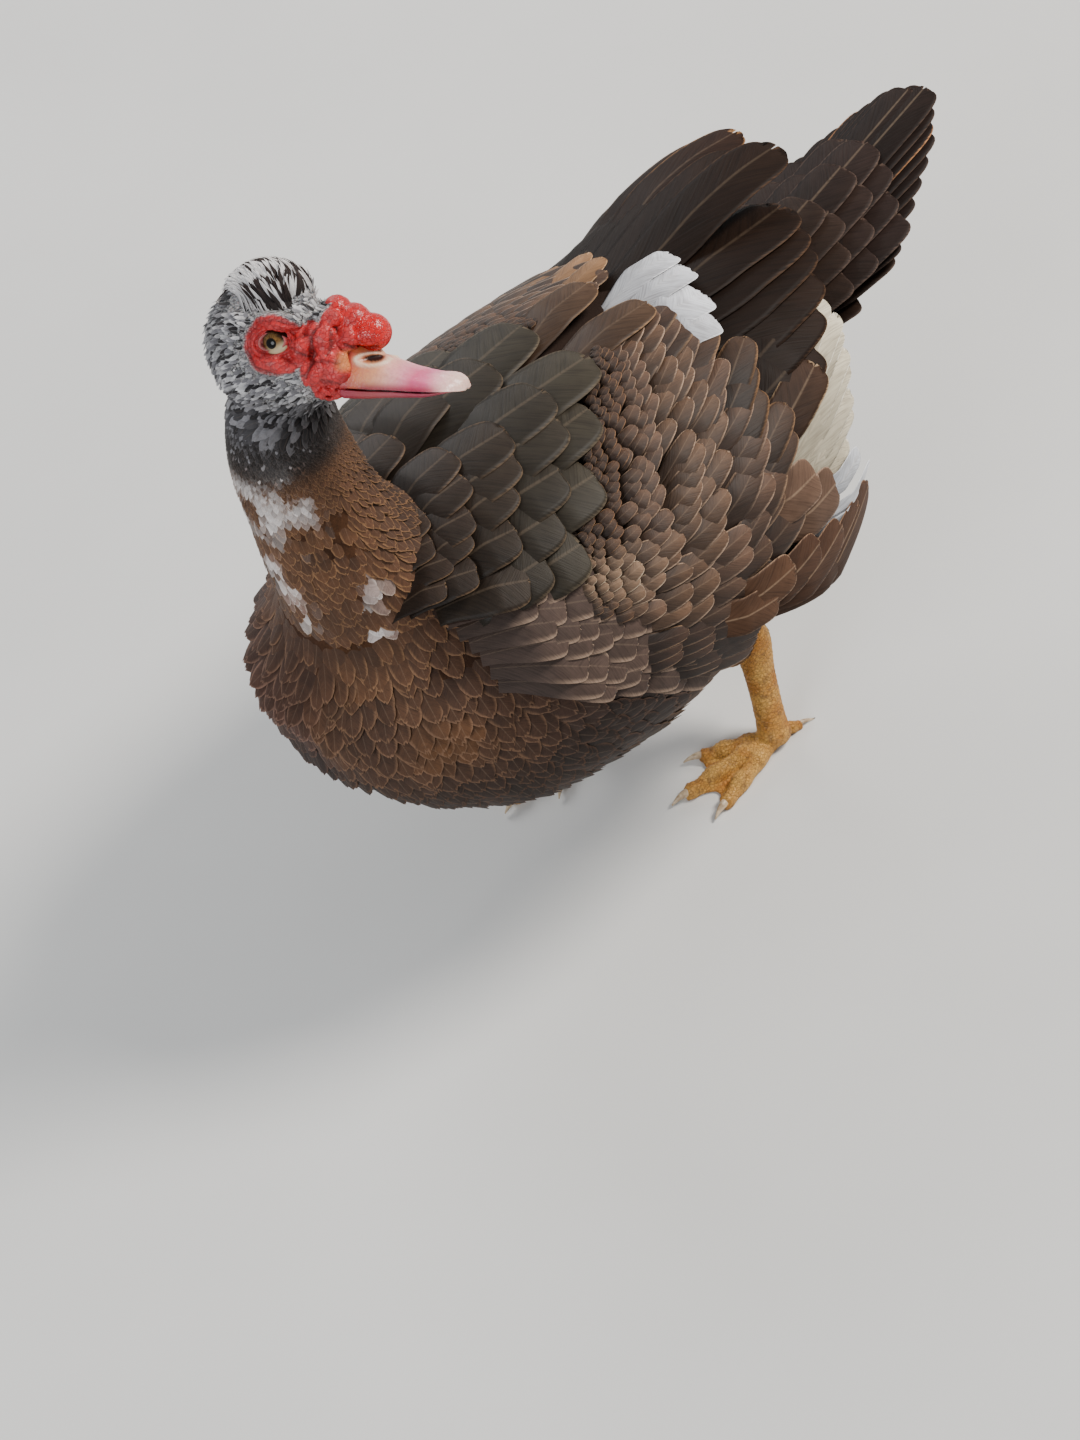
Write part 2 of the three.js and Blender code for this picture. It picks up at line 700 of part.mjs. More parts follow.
function foot({ ankle, heading, hock }, mirror) {
  const parts = [];
  const tips = [];
  for (const [splay, length, half] of TOES) {
    const turn = (heading + splay * mirror) * DEG;
    for (const piece of [toe(length, half), claw(length, half)]) {
      parts.push(piece.rotate([0, 0, turn / DEG]).translate([...ankle, 0]));
    }
    const reach = length * 0.97;
    tips.push([ankle[0] + reach * Math.cos(turn), ankle[1] + reach * Math.sin(turn)]);
  }
  for (const piece of [toe(17, 4), claw(17, 4)]) {
    const back = piece.rotate([0, -12, heading + 176]);
    parts.push(back.translate([ankle[0], ankle[1], 2.6]));
  }
  const [middle, outer, inner] = tips;
  const web = new THREE.Shape();
  web.moveTo(...ankle);
  web.lineTo(...outer);
  const bay = (a, b) => [0, 1].map((k) => mix((a[k] + b[k]) / 2, ankle[k], 0.17));
  web.quadraticCurveTo(...bay(outer, middle), ...middle);
  web.quadraticCurveTo(...bay(middle, inner), ...inner);
  web.lineTo(...ankle);
  const sheet = new THREE.ExtrudeGeometry(web, { depth: 1.9, bevelEnabled: false, curveSegments: 4 });
  parts.push(solid(sheet.translate(0, 0, 0.4)));
  parts.push(shank({ hock, ankle }).intersect(halfSpace(ANKLE_TOP, false)).intersect(halfSpace(0, true)));
  parts.push(bulb(...ankle, 7.5, 10, 9.5, 7.5));
  return fuse(parts);
}

const torso = torsoShape();
const torsoGrown = torsoShape(GAP);
const head = inHeadFrame(headShape());
const neckGrown = tube(NECK, 20, 16, GAP);
const tailShape = tail().subtract(torsoGrown);
const tailRaised = tailShape.translate([0, 0, GAP]);
const headGrown = inHeadFrame(fuse([skullShape(2 * GAP), facialBulbs(2 * GAP)]));
mesh("torso", torso, 0x4a3226);
mesh("neck", tube(NECK).subtract(torsoGrown).subtract(headGrown), 0x5a4030);
mesh("head", head, 0xb8b4b0);
mesh("bill_upper", inHeadFrame(billUpper()), 0xe07a88, 0.45);
mesh("bill_lower", inHeadFrame(billLower()), 0xc05a68, 0.5);
for (const [name, side] of [["left", 1], ["right", -1]]) {
  mesh("eye_" + name, inHeadFrame(eyeball(side)), 0x8a6a2a, 0.15);
  const wingShape = wing(side).subtract(fuse([torsoGrown, neckGrown, tailShape, tailRaised]));
  mesh("wing_" + name, wingShape, 0x4a3226);
  const leg = LEGS[name];
  mesh("thigh_" + name, thigh(leg).subtract(torsoGrown), 0x4a3226);
  const lower = shank(leg).subtract(thigh(leg, GAP)).intersect(halfSpace(ANKLE_TOP + GAP, true));
  mesh("shank_" + name, lower, 0xc08030, 0.6);
  mesh("foot_" + name, foot(leg, side), 0xd09038, 0.6);
}
mesh("tail", tailShape, 0x33221c);

// The middle of the whole bird's foot print is the origin.
const bounds = new THREE.Box3().setFromObject(duck);
const middle = bounds.getCenter(vec(0, 0, 0));
duck.position.set(-middle.x, -middle.y, -bounds.min.z);
export default duck;
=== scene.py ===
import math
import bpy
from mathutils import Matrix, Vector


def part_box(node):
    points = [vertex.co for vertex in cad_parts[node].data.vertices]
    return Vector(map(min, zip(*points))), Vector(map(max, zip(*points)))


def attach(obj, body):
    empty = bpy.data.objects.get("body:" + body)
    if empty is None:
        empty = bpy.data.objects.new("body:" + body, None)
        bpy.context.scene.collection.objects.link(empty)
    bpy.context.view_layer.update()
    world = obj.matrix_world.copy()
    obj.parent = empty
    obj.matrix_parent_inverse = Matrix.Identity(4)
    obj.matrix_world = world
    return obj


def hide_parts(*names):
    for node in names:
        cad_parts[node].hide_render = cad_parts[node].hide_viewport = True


bl_info = {
    "name": "Muscovy duck",
    "version": (1, 0, 0),
    "blender": (4, 5, 0),
    "location": "View3D > Sidebar > Duck",
    "description": "Plumage, bare face, bill, eyes and feet of a life-size muscovy duck",
    "category": "Object",
}

import bpy
import numpy as np
from mathutils import Matrix, Vector, kdtree

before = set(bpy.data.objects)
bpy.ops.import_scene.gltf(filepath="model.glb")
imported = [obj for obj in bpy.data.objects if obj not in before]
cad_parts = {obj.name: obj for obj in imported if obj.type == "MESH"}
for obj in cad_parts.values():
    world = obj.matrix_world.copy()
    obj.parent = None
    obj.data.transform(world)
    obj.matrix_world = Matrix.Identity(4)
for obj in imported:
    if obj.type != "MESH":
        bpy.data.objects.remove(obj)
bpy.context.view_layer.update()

MM = 0.001
TAU = 2 * np.pi
RAD = math.pi / 180
# The tables below are in millimetres, from a point under the middle of the back.
TORSO_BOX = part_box("torso")
# The right side of the bird is narrower than the left one by this share.
RIGHT_SHARE = 0.9
# From the tables' origin to the torso's left side and to the front of the breast, in metres
TORSO_HALF = 0.11608
TORSO_FRONT = 0.167
SHIFT = np.array([TORSO_BOX[1][0] - TORSO_HALF, TORSO_BOX[0][1] + TORSO_FRONT, 0.0])

# y, top z, bottom z, half width
TORSO = np.array([
    (-167, 196, 178, 8), (-160, 215, 150, 40), (-138, 238, 115, 73), (-100, 254, 84, 99),
    (-50, 258, 68, 113), (0, 256, 63, 116), (50, 252, 68, 111), (100, 244, 88, 97),
    (145, 234, 120, 76), (180, 224, 152, 52), (205, 216, 176, 30), (214, 205, 188, 8),
], float)
WING = np.array([
    (-130, 256, 96, 92), (-100, 264, 80, 110), (-50, 268, 70, 124), (0, 268, 66, 128),
    (60, 263, 72, 124), (110, 256, 92, 112), (160, 248, 120, 94), (210, 241, 148, 74),
    (250, 237, 170, 56), (290, 235, 188, 40), (330, 233, 204, 26),
], float)
# x, y, z, half width, half depth
NECK = np.array([
    (4, -76, 200, 78, 64), (5, -98, 238, 60, 52), (5, -111, 276, 42, 40),
    (3, -115, 308, 34, 35), (1, -114, 340, 31, 33), (1, -109, 366, 26, 28),
    (5, -103, 390, 16, 17),
], float)
# x towards the bill, top z, bottom z, half width
SKULL = np.array([
    (-38, 3, -10, 4), (-33, 13, -21, 12), (-24, 21, -31, 17.4), (-12, 25, -37, 19.4),
    (0, 25, -38, 19.4), (12, 21, -34, 18), (22, 15, -28, 15.6), (30, 8, -24, 13.2),
    (36, 4, -21.5, 11.8),
], float)
# x, top z, edge z, half width
BILL = np.array([
    (36, 3, -17.5, 11.6), (46, -1, -17, 12), (57, -5, -16, 12.8), (69, -8, -15.2, 13.6),
    (79, -9, -14.5, 13.8), (86, -9.6, -14.2, 11.4), (90, -11, -14.6, 6), (91, -12, -14.8, 2.5),
], float)
# The crest's mound: middle and radii in the head's frame
CREST_AT = np.array((-5, 0, 19), float)
CREST_RADII = np.array((23, 14, 17), float)
# The head's frame: its origin, and its turn to the left, up and over in degrees
HEAD_AT = np.array((8, -99, 398), float)
HEAD_YAW = 24
HEAD_PITCH = -3
HEAD_ROLL = -31
# The eyeball's middle in the head's frame, and the radii of ball and iris
EYE_X, EYE_SIDE, EYE_Z = 4.0, 14.2, 1.5
EYE_R = 6.8
IRIS_R = 5.4
# The tail's root, and how far it rises for each millimetre to the rear
TAIL_X, TAIL_Y, TAIL_Z, TAIL_RISE = -3, 196, 204, 0.17
LEGS = {
    "left": dict(hip=(46, 20, 118), hock=(63, 77, 62), ankle=(78, 64), heading=-104, side=1),
    "right": dict(hip=(-46, 4, 116), hock=(-44, 34, 64), ankle=(-24, 10), heading=-84, side=-1),
}
# How deep the skin lies under the feathers of torso, neck and thighs
COAT_DEPTH = 5.0


NECK_COAT = 4.0
THIGH_COAT = 3.0
# Body colour and rim colour of each kind of feather, as sRGB hex
FEATHERS = {
    "back": (0x3E2A21, 0x5E4738),
    "breast": (0x603F24, 0x785840),
    # The lower breast on the right side in painted shade: a darker copy of the breast colours
    "shaded breast": (0x3C2620, 0x6E5146),
    "flank": (0x43302A, 0x7A6054),
    "belly": (0x1C120D, 0x40291A),
    "underside": (0x553A1C, 0x8A6431),
    "vent": (0x231915, 0x43332A),
    "neck": (0x5C3D28, 0x84603F),
    "collar": (0x1B1614, 0x4A413C),
    "side": (0x4A3A32, 0x86705F),
    "white": (0xDDE0E6, 0xF4F6FA),
    "snow": (0xE2E3E8, 0xFAFAFC),
    "cream": (0xD8CDB4, 0xF1E9D6),
    "primary": (0x4C3426, 0x8E6F58),
    "upper primary": (0x6A5243, 0x9A7F6C),
    "lower inner": (0x553C2C, 0x967860),
    "right inner": (0x24170F, 0x4A3424),
    "right secondary": (0x2E1D14, 0xA5784F),
    "left inner": (0x24170F, 0x4E3828),
    "left secondary": (0x3A281D, 0xA58A6C),
    "covert 1": (0x4C3628, 0x8C6F55),
    "covert 2": (0x5B4334, 0xA38670),
    "covert 3": (0x614836, 0xAC8F78),
    "covert 4": (0x654B38, 0xAF927B),
    "covert 5": (0x604737, 0xA98C75),
    "covert 6": (0x574031, 0x9D806A),
    "covert 7": (0x4E3626, 0x966F50),
    "covert 8": (0x483122, 0x8C6949),
    "covert 9": (0x422D1F, 0x7F5F43),
    "pale covert": (0x9A7B60, 0xDCC7AC),
    "golden covert": (0x33200F, 0x7A5531),
    "low covert": (0x3A281E, 0x8C6D52),
    "tan shoulder": (0x96704E, 0xC8A27C),
    "middle shoulder": (0x4F3B2C, 0x8C6C4E),
    "shoulder 1": (0x3A342A, 0x5E5242),
    "shoulder 2": (0x302A22, 0x5A4C3C),
    "shoulder 3": (0x30271F, 0x5E4C3A),
    "shoulder 4": (0x30261F, 0x644E3A),
    "shoulder 5": (0x33271F, 0x6A523C),
    "tail": (0x241A16, 0x46352B),
    "worn tail": (0x241A16, 0xB07C54),
    "tail covert 1": (0x2A1F1B, 0x54433A),
    "tail covert 2": (0x2E221D, 0x54433A),
    "tail covert 3": (0x33261F, 0x54433A),
    "tail covert 4": (0x382A22, 0x54433A),
    "tail covert 5": (0x3A2B23, 0x54433A),
    "under the tail": (0x33261F, 0x5A463A),
    "dark crest": (0x211614, 0x3C2B26),
    "light crest": (0xDAD6D5, 0xECE9E8),
}


# Other colours of plumage, skin, bill, eyes and legs, as sRGB hex
PAINTS = {
    "shaft": 0xC9AE90,
    "neck mottle": 0x2E1D15,
    "painted shade behind the neck": 0x241A16,
    "white patch": 0xD9D2CF,
    "buff patch": 0xB0948A,
    "patch rim": 0xDCD3CD,
    "black fleck": 0x2A2628,
    "grey fleck": 0x88868A,
    "white fleck": 0xCFCDCE,
    "throat black": 0x262324,
    "throat grey": 0x646266,
    # Near black for the back of the neck above the shoulders: painted shade between neck and wing
    "nape grey": 0x5A585A,
    "fleck rim": 0xD6D4D4,
    "wing bed": 0x3A2C25,
    "tail stump": 0x2A201C,
    "dark crimson": 0x9C1014,
    "crimson": 0xC6191D,
    "dry skin": 0xC96A62,
    "swollen skin": 0xC40A0A,
    # Darker reds for the creases of the face: painted shade
    "painted shade in fine creases": 0x520B0E,
    "painted shade in deep creases": 0x4A0A0C,
    "lid": 0x9C6A66,
    "bill root": 0xC9763F,
    "lower bill": 0x8E1C38,
    "nostril rim": 0xE9D2B4,
    "nostril": 0x1E0808,
    "bill vein": 0xB4505E,
    "dark spoke": 0x3A2410,
    "light spoke": 0x74552C,
    "iris ring": 0x1C1008,
    # Cream for the lower iris: painted light, as if lit from above through the cornea
    "painted light in the lower iris": 0xDCCDA6,
    "leg brown": 0xB4762C,
    "leg yellow": 0xD9A552,
    "leg stain": 0x6B4A28,
    "web brown": 0xA96A2C,
    "web yellow": 0xC98A3E,
    "scale gap": 0x6A4220,
    "claw brown": 0x8C7458,
    "claw horn": 0xC9B394,
}


# The upper bill's colours from its root to the nail: share of its length, sRGB hex
BILL_COLOURS = [
    (0.0, 0xA8322C),
    (0.1, 0xCC7040),
    (0.24, 0xE09A6E),
    (0.36, 0xE8AC9C),
    (0.5, 0xE294A0),
    (0.62, 0xD0587E),
    (0.7, 0xD4648A),
    (0.78, 0xE6A4AC),
    (0.9, 0xEBC2B8),
    (1.0, 0xE8C4B4),
]


# Plumage materials: roughness, height of the barbs in millimetres, rim's share of the half width,
# sheen, painted shade at the root, gloss
PLUMAGE = {
    "small": (0.7, 0.2, 0.34, 0.03, 0.75, 0.25),
    "covert": (0.58, 0.3, 0.17, 0.02, 0.3, 0.25),
    "shoulder": (0.52, 0.22, 0.1, 0.0, 0.6, 0.16),
    "flight": (0.56, 0.3, 0.08, 0.0, 0.6, 0.1),
}


def colour(code):
    """An sRGB hex colour as linear red, green and blue."""
    c = np.array([(code >> 16) & 255, (code >> 8) & 255, code & 255]) / 255.0
    return np.where(c <= 0.04045, c / 12.92, ((c + 0.055) / 1.055) ** 2.4)


def paint(name):
    """A named colour as linear red, green and blue."""
    return colour(PAINTS[name])


def unit(a):
    """Vectors divided by their lengths."""
    return a / np.maximum(np.linalg.norm(a, axis=-1, keepdims=True), 1e-12)


def ramp(x, a, b):
    """0 before a, 1 after b, and a smooth step between."""
    t = np.clip((np.asarray(x, float) - a) / (b - a), 0, 1)
    return t * t * (3 - 2 * t)


def laid_on(way, normal):
    """Directions laid flat on a surface: less their share along its normal, and made unit long."""
    return unit(way - normal * np.sum(way * normal, -1, keepdims=True))


def bell(x, middle, width):
    """1 at the middle, falling off to both sides as a bell of the given width."""
    return np.exp(-(((x - middle) / width) ** 2))


def blend(a, b, t):
    """A share t of the way from a to b, for numbers or for colours."""
    t = np.asarray(t, float)
    return a + (b - a) * (t[..., None] if np.ndim(a) != np.ndim(t) or np.ndim(b) != np.ndim(t) else t)


def lookup(table, x, column):
    """A cubic curve through the rows of a table with slopes from their neighbours, at x in column 0."""
    xs, ys = table[:, 0], table[:, column]
    x = np.clip(np.asarray(x, float), xs[0], xs[-1])
    slopes = np.empty_like(ys)
    slopes[1:-1] = (ys[2:] - ys[:-2]) / (xs[2:] - xs[:-2])
    slopes[0] = (ys[1] - ys[0]) / (xs[1] - xs[0])
    slopes[-1] = (ys[-1] - ys[-2]) / (xs[-1] - xs[-2])
    i = np.clip(np.searchsorted(xs, x, side="right") - 1, 0, len(xs) - 2)
    h = xs[i + 1] - xs[i]
    t = (x - xs[i]) / h
    return (
        ys[i] * (1 + 2 * t) * (1 - t) ** 2
        + ys[i + 1] * t * t * (3 - 2 * t)
        + h * (slopes[i] * t * (1 - t) ** 2 - slopes[i + 1] * t * t * (1 - t))
    )


def each(value, count):
    """One value, or one for each, as an array of count."""
    return np.broadcast_to(np.asarray(value, float), (count,))


def circle(sides, whole=TAU):
    """Angles evenly round a circle, in radians or out of another whole."""
    return np.linspace(0, whole, sides, endpoint=False)


def eased(first, last, count):
    """Numbers from first to last, closer together near both ends: half a cosine."""
    return first + (last - first) * (0.5 - 0.5 * np.cos(np.pi * np.linspace(0, 1, count)))


def stations(table, x):
    """All further columns of a table at x, each on its own curve."""
    return [lookup(table, x, k) for k in range(1, table.shape[1])]


def noise(points, size, seed=0):
    """Smooth noise from -1 to 1: random values at the corners of cubes of one size, eased between
    corners."""
    p = np.asarray(points, float) / size + 1000.0
    cell = np.floor(p).astype(np.int64)
    f = p - cell
    f = f * f * (3 - 2 * f)
    total = np.zeros(p.shape[:-1])
    for corner in range(8):
        d = np.array([corner & 1, (corner >> 1) & 1, (corner >> 2) & 1])
        q = cell + d
        # A hash of the corner's whole numbers
        mixed = (q[..., 0] * 73856093) ^ (q[..., 1] * 19349663) ^ (q[..., 2] * 83492791)
        mixed = mixed ^ (seed * 2654435 + 97)
        mixed = (mixed ^ (mixed >> 13)) * 1274126177
        value = ((mixed ^ (mixed >> 16)) & 0xFFFF) / 32767.5 - 1
        weight = np.prod(np.where(d, f, 1 - f), axis=-1)
        total += value * weight
    return total


# Shapes of two parameters


# The body's section: height of its widest place as a share, and the power that rounds it
BODY_WIDEST = 0.47
BODY_ROUNDING = 0.92
SKULL_WIDEST = 0.52
def body_point(y, phi, lift=0.0, table=TORSO):
    """A superellipse section at each y: phi degrees from the back's midline towards the left, moved
    out by lift."""
    top, bottom, half = stations(table, y)
    wide = bottom + (top - bottom) * BODY_WIDEST
    s, c = np.sin(np.asarray(phi) * RAD), np.cos(np.asarray(phi) * RAD)
    rise = np.where(c > 0, top - wide, wide - bottom)
    x = half * np.sign(s) * np.abs(s) ** BODY_ROUNDING
    z = rise * np.sign(c) * np.abs(c) ** BODY_ROUNDING
    n = np.maximum(np.hypot(s / half, c / rise), 1e-9)
    x = x + lift * s / half / n
    return np.stack([np.where(x < 0, RIGHT_SHARE * x, x), y + 0 * x, wide + z + lift * c / rise / n], -1)


def to_side(p, side):
    """Points or directions of the left side, taken to the side asked for."""
    return p * np.array([1.0 if side > 0 else -RIGHT_SHARE, 1, 1])


def skull_point(x, angle, lift=0.0):
    """An egg-shaped section at each x: angle in degrees from the crown towards the left, in the
    head's frame."""
    top, bottom, half = stations(SKULL, x)
    middle = bottom + (top - bottom) * SKULL_WIDEST
    s, c = np.sin(np.asarray(angle) * RAD), np.cos(np.asarray(angle) * RAD)
    rise = np.where(c > 0, top - middle, middle - bottom)
    n = np.maximum(np.hypot(s / half, c / rise), 1e-9)
    return np.stack([x + 0 * s, s * (half + lift / half / n), middle + c * (rise + lift / rise / n)], -1)


def head_axes():
    """The head's forward, left and up directions: yaw and pitch turn forward, roll leans the head
    about it."""
    yaw, pitch, roll = HEAD_YAW * RAD, HEAD_PITCH * RAD, HEAD_ROLL * RAD
    forward = np.array([math.cos(pitch) * math.cos(yaw), math.cos(pitch) * math.sin(yaw), math.sin(pitch)])
    level = np.array([-math.sin(yaw), math.cos(yaw), 0.0])
    above = np.cross(forward, level)
    left = level * math.cos(roll) + above * math.sin(roll)
    return np.array([forward, left, np.cross(forward, left)])


HEAD_AXES = head_axes()


def from_head(p):
    """Points of the head's frame as points of the bird's frame."""
    return np.asarray(p) @ HEAD_AXES + HEAD_AT


def to_head(p):
    """Points of the bird's frame as points of the head's frame."""
    return (np.asarray(p) - HEAD_AT) @ HEAD_AXES.T


def grid_faces(rows, columns, closed=False):
    """Quads of a grid of points, closed round each row where asked."""
    i = np.arange(rows - 1)[:, None] * columns
    j = np.arange(columns if closed else columns - 1)[None, :]
    k = (j + 1) % columns
    return np.stack([i + j, i + k, i + columns + k, i + columns + j], -1).reshape(-1, 4)


def tube_surface(centres, across, up, a, b, sides):
    """Rings round a line of centres: an ellipse of radii a and b in the plane of the across and up
    directions."""
    t = circle(sides)
    return (
        centres[:, None, :]
        + (a[:, None] * np.cos(t))[..., None] * across[:, None, :]
        + (b[:, None] * np.sin(t))[..., None] * up[:, None, :]
    )


def capped(rings):
    """Closes a stack of rings at both ends with a point in the middle of each end."""
    rows, columns, _ = rings.shape
    points = rings.reshape(-1, 3)
    quads = grid_faces(rows, columns, True)
    first, last = len(points), len(points) + 1
    points = np.concatenate([points, rings[:1].mean(1), rings[-1:].mean(1)])
    j = np.arange(columns)
    k = (j + 1) % columns
    base = (rows - 1) * columns
    ends = np.concatenate([
        np.stack([k, j, np.full(columns, first)], -1),
        np.stack([base + j, base + k, np.full(columns, last)], -1),
    ])
    return points, [quads, ends]


def neck_curve(count):
    """The neck's line and radii: a cubic curve through its stations, by their number."""
    index = np.arange(len(NECK))[:, None]
    table = np.concatenate([index, NECK], 1)
    return np.stack(stations(table, np.linspace(0, len(NECK) - 1, count)), -1)


def torso_rings(grow, rows=90, sides=96):
    """The torso's sections from breast to rump, grown by a depth."""
    y = eased(TORSO[0, 0] - grow, TORSO[-1, 0] + grow, rows)
    phi = circle(sides, 360)
    return body_point(y[:, None] + 0 * phi, phi[None, :] + 0 * y[:, None], grow)


def neck_rings(grow, rows=50, sides=64):
    """The neck's ellipses along its curve, grown by a depth."""
    line = neck_curve(rows)
    centres = line[:, :3]
    along = unit(np.gradient(centres, axis=0))
    across = unit(np.array([1.0, 0, 0]) - along * along[:, :1])
    up = np.cross(across, along)
    return tube_surface(centres, across, up, line[:, 3] + grow, line[:, 4] + grow, sides)


def leg_rings(a, b, rows, steps=24, sides=32):
    """A tapered tube from a to b: rows of share of the way, radius across, radius along."""
    a, b = np.array(a, float), np.array(b, float)
    rows = np.array(rows, float)
    t = np.linspace(rows[0, 0], rows[-1, 0], steps)
    centres = a + (b - a) * t[:, None]
    along = unit(b - a)[None, :] + 0 * centres
    across = unit(np.array([1.0, 0, 0]) - along * along[:, :1])
    return tube_surface(centres, across, np.cross(across, along), *stations(rows, t), sides)


def ellipsoid(centre, radii, rows=20, sides=28):
    """A sphere scaled to three radii round its centre: latitude by longitude, open a little at the
    poles."""
    pole = 0.06
    lat = np.linspace(pole, np.pi - pole, rows)[:, None]
    lon = circle(sides)[None, :]
    ball = np.stack([np.sin(lat) * np.cos(lon), np.sin(lat) * np.sin(lon), np.cos(lat) + 0 * lon], -1)
    return ball * np.array(radii, float) + np.array(centre, float)


# Meshes


def joined(shells):
    """Several closed shells as one set of points and faces."""
    points, quads, ends, offset = [], [], [], 0
    for shell, (q, e) in shells:
        points.append(shell)
        quads.append(q + offset)
        ends.append(e + offset)
        offset += len(shell)
    return np.concatenate(points), [np.concatenate(quads), np.concatenate(ends)]


def build_mesh(name, points, faces, attributes=None, uv=None):
    """A mesh of points in millimetres of the bird's frame, with point attributes and the bake map."""
    points = np.asarray(points, float).reshape(-1, 3) * MM + SHIFT
    faces = faces if isinstance(faces, list) else [faces]
    loops = np.concatenate([f.reshape(-1) for f in faces]).astype(np.int32)
    sizes = np.concatenate([np.full(len(f), f.shape[1]) for f in faces])
    starts = np.concatenate([[0], np.cumsum(sizes)[:-1]]).astype(np.int32)
    mesh = bpy.data.meshes.new(name)
    mesh.vertices.add(len(points))
    mesh.vertices.foreach_set("co", points.astype(np.float32).ravel())
    mesh.loops.add(len(loops))
    mesh.loops.foreach_set("vertex_index", loops)
    mesh.polygons.add(len(starts))
    mesh.polygons.foreach_set("loop_start", starts)
    mesh.update(calc_edges=True)
    mesh.validate()
    mesh.shade_smooth()
    for key, values in (attributes or {}).items():
        put_attribute(mesh, key, values)
    if uv is not None:
        layer = mesh.uv_layers.new(name="OFBake")
        vertex = np.empty(len(mesh.loops), np.int32)
        mesh.loops.foreach_get("vertex_index", vertex)
        layer.data.foreach_set("uv", uv[vertex].astype(np.float32).ravel())
    return mesh


def put_attribute(mesh, key, values):
    """A point attribute: a number, a colour where it is ink or rim, or else a vector."""
    values = np.asarray(values, np.float32)
    if values.ndim == 1:
        layer = mesh.attributes.new(key, "FLOAT", "POINT")
        layer.data.foreach_set("value", values)
    elif key in ("ink", "rim"):
        rgba = np.concatenate([values, np.ones((len(values), 1), np.float32)], 1)
        layer = mesh.attributes.new(key, "FLOAT_COLOR", "POINT")
        layer.data.foreach_set("color", rgba.ravel())
    else:
        layer = mesh.attributes.new(key, "FLOAT_VECTOR", "POINT")
        layer.data.foreach_set("vector", values.ravel())


def add_piece(name, mesh, material, replaces=()):
    """A finished piece at the origin, riding on the bird's one body."""
    piece = bpy.data.objects.new(name, mesh)
    bpy.context.scene.collection.objects.link(piece)
    mesh.materials.append(material)
    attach(piece, "root")
    if replaces:
        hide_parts(*replaces)


def mesh_points(mesh):
    """A mesh's points in millimetres of the bird's frame."""
    points = np.empty(len(mesh.vertices) * 3, np.float32)
    mesh.vertices.foreach_get("co", points)
    return (points.reshape(-1, 3).astype(float) - SHIFT) / MM


def mesh_triangles(mesh):
    """A mesh's triangles as rows of three point numbers."""
    mesh.calc_loop_triangles()
    tris = np.empty(len(mesh.loop_triangles) * 3, np.int32)
    mesh.loop_triangles.foreach_get("vertices", tris)
    return tris.reshape(-1, 3)


def halved(quads):
    """Each quad as two triangles."""
    return np.concatenate([quads[:, :3], quads[:, [0, 2, 3]]])


def point_normals(points, tris):
    """The normal at each point: the sum of its triangles' normals by their areas."""
    n = np.cross(points[tris[:, 1]] - points[tris[:, 0]], points[tris[:, 2]] - points[tris[:, 0]])
    total = np.zeros_like(points)
    for k in range(3):
        np.add.at(total, tris[:, k], n)
    return unit(total)


def relax(points, faces, rounds, strength=0.5):
    """Moves each point towards the mean of its neighbours, several times."""
    corners = faces.shape[1]
    edges = np.concatenate([faces[:, [k, (k + 1) % corners]] for k in range(corners)])
    edges = np.concatenate([edges, edges[:, ::-1]])
    here, there = edges.T
    many = len(points)
    count = np.bincount(here, minlength=many)[:, None]
    for _ in range(rounds):
        total = np.stack([np.bincount(here, weights=points[there, k], minlength=many) for k in range(3)], -1)
        points = points + strength * (total / np.maximum(count, 1) - points)
    return points


def fused(name, shells, voxel, rounds):
    """Closed shells made into one skin: remeshed at a voxel size in millimetres and relaxed."""
    rough = build_mesh(name + "_rough", *joined(shells))
    holder = bpy.data.objects.new(name + "_rough", rough)
    bpy.context.scene.collection.objects.link(holder)
    remesh = holder.modifiers.new("Skin", "REMESH")
    remesh.mode = "VOXEL"
    remesh.voxel_size = voxel * MM
    solved = holder.evaluated_get(bpy.context.evaluated_depsgraph_get()).to_mesh()
    quads = np.empty(len(solved.loops), np.int32)
    solved.loops.foreach_get("vertex_index", quads)
    quads = quads.reshape(-1, 4)
    points = mesh_points(solved)
    holder.to_mesh_clear()
    bpy.data.objects.remove(holder)
    bpy.data.meshes.remove(rough)
    return relax(points, quads, rounds), quads


# Materials


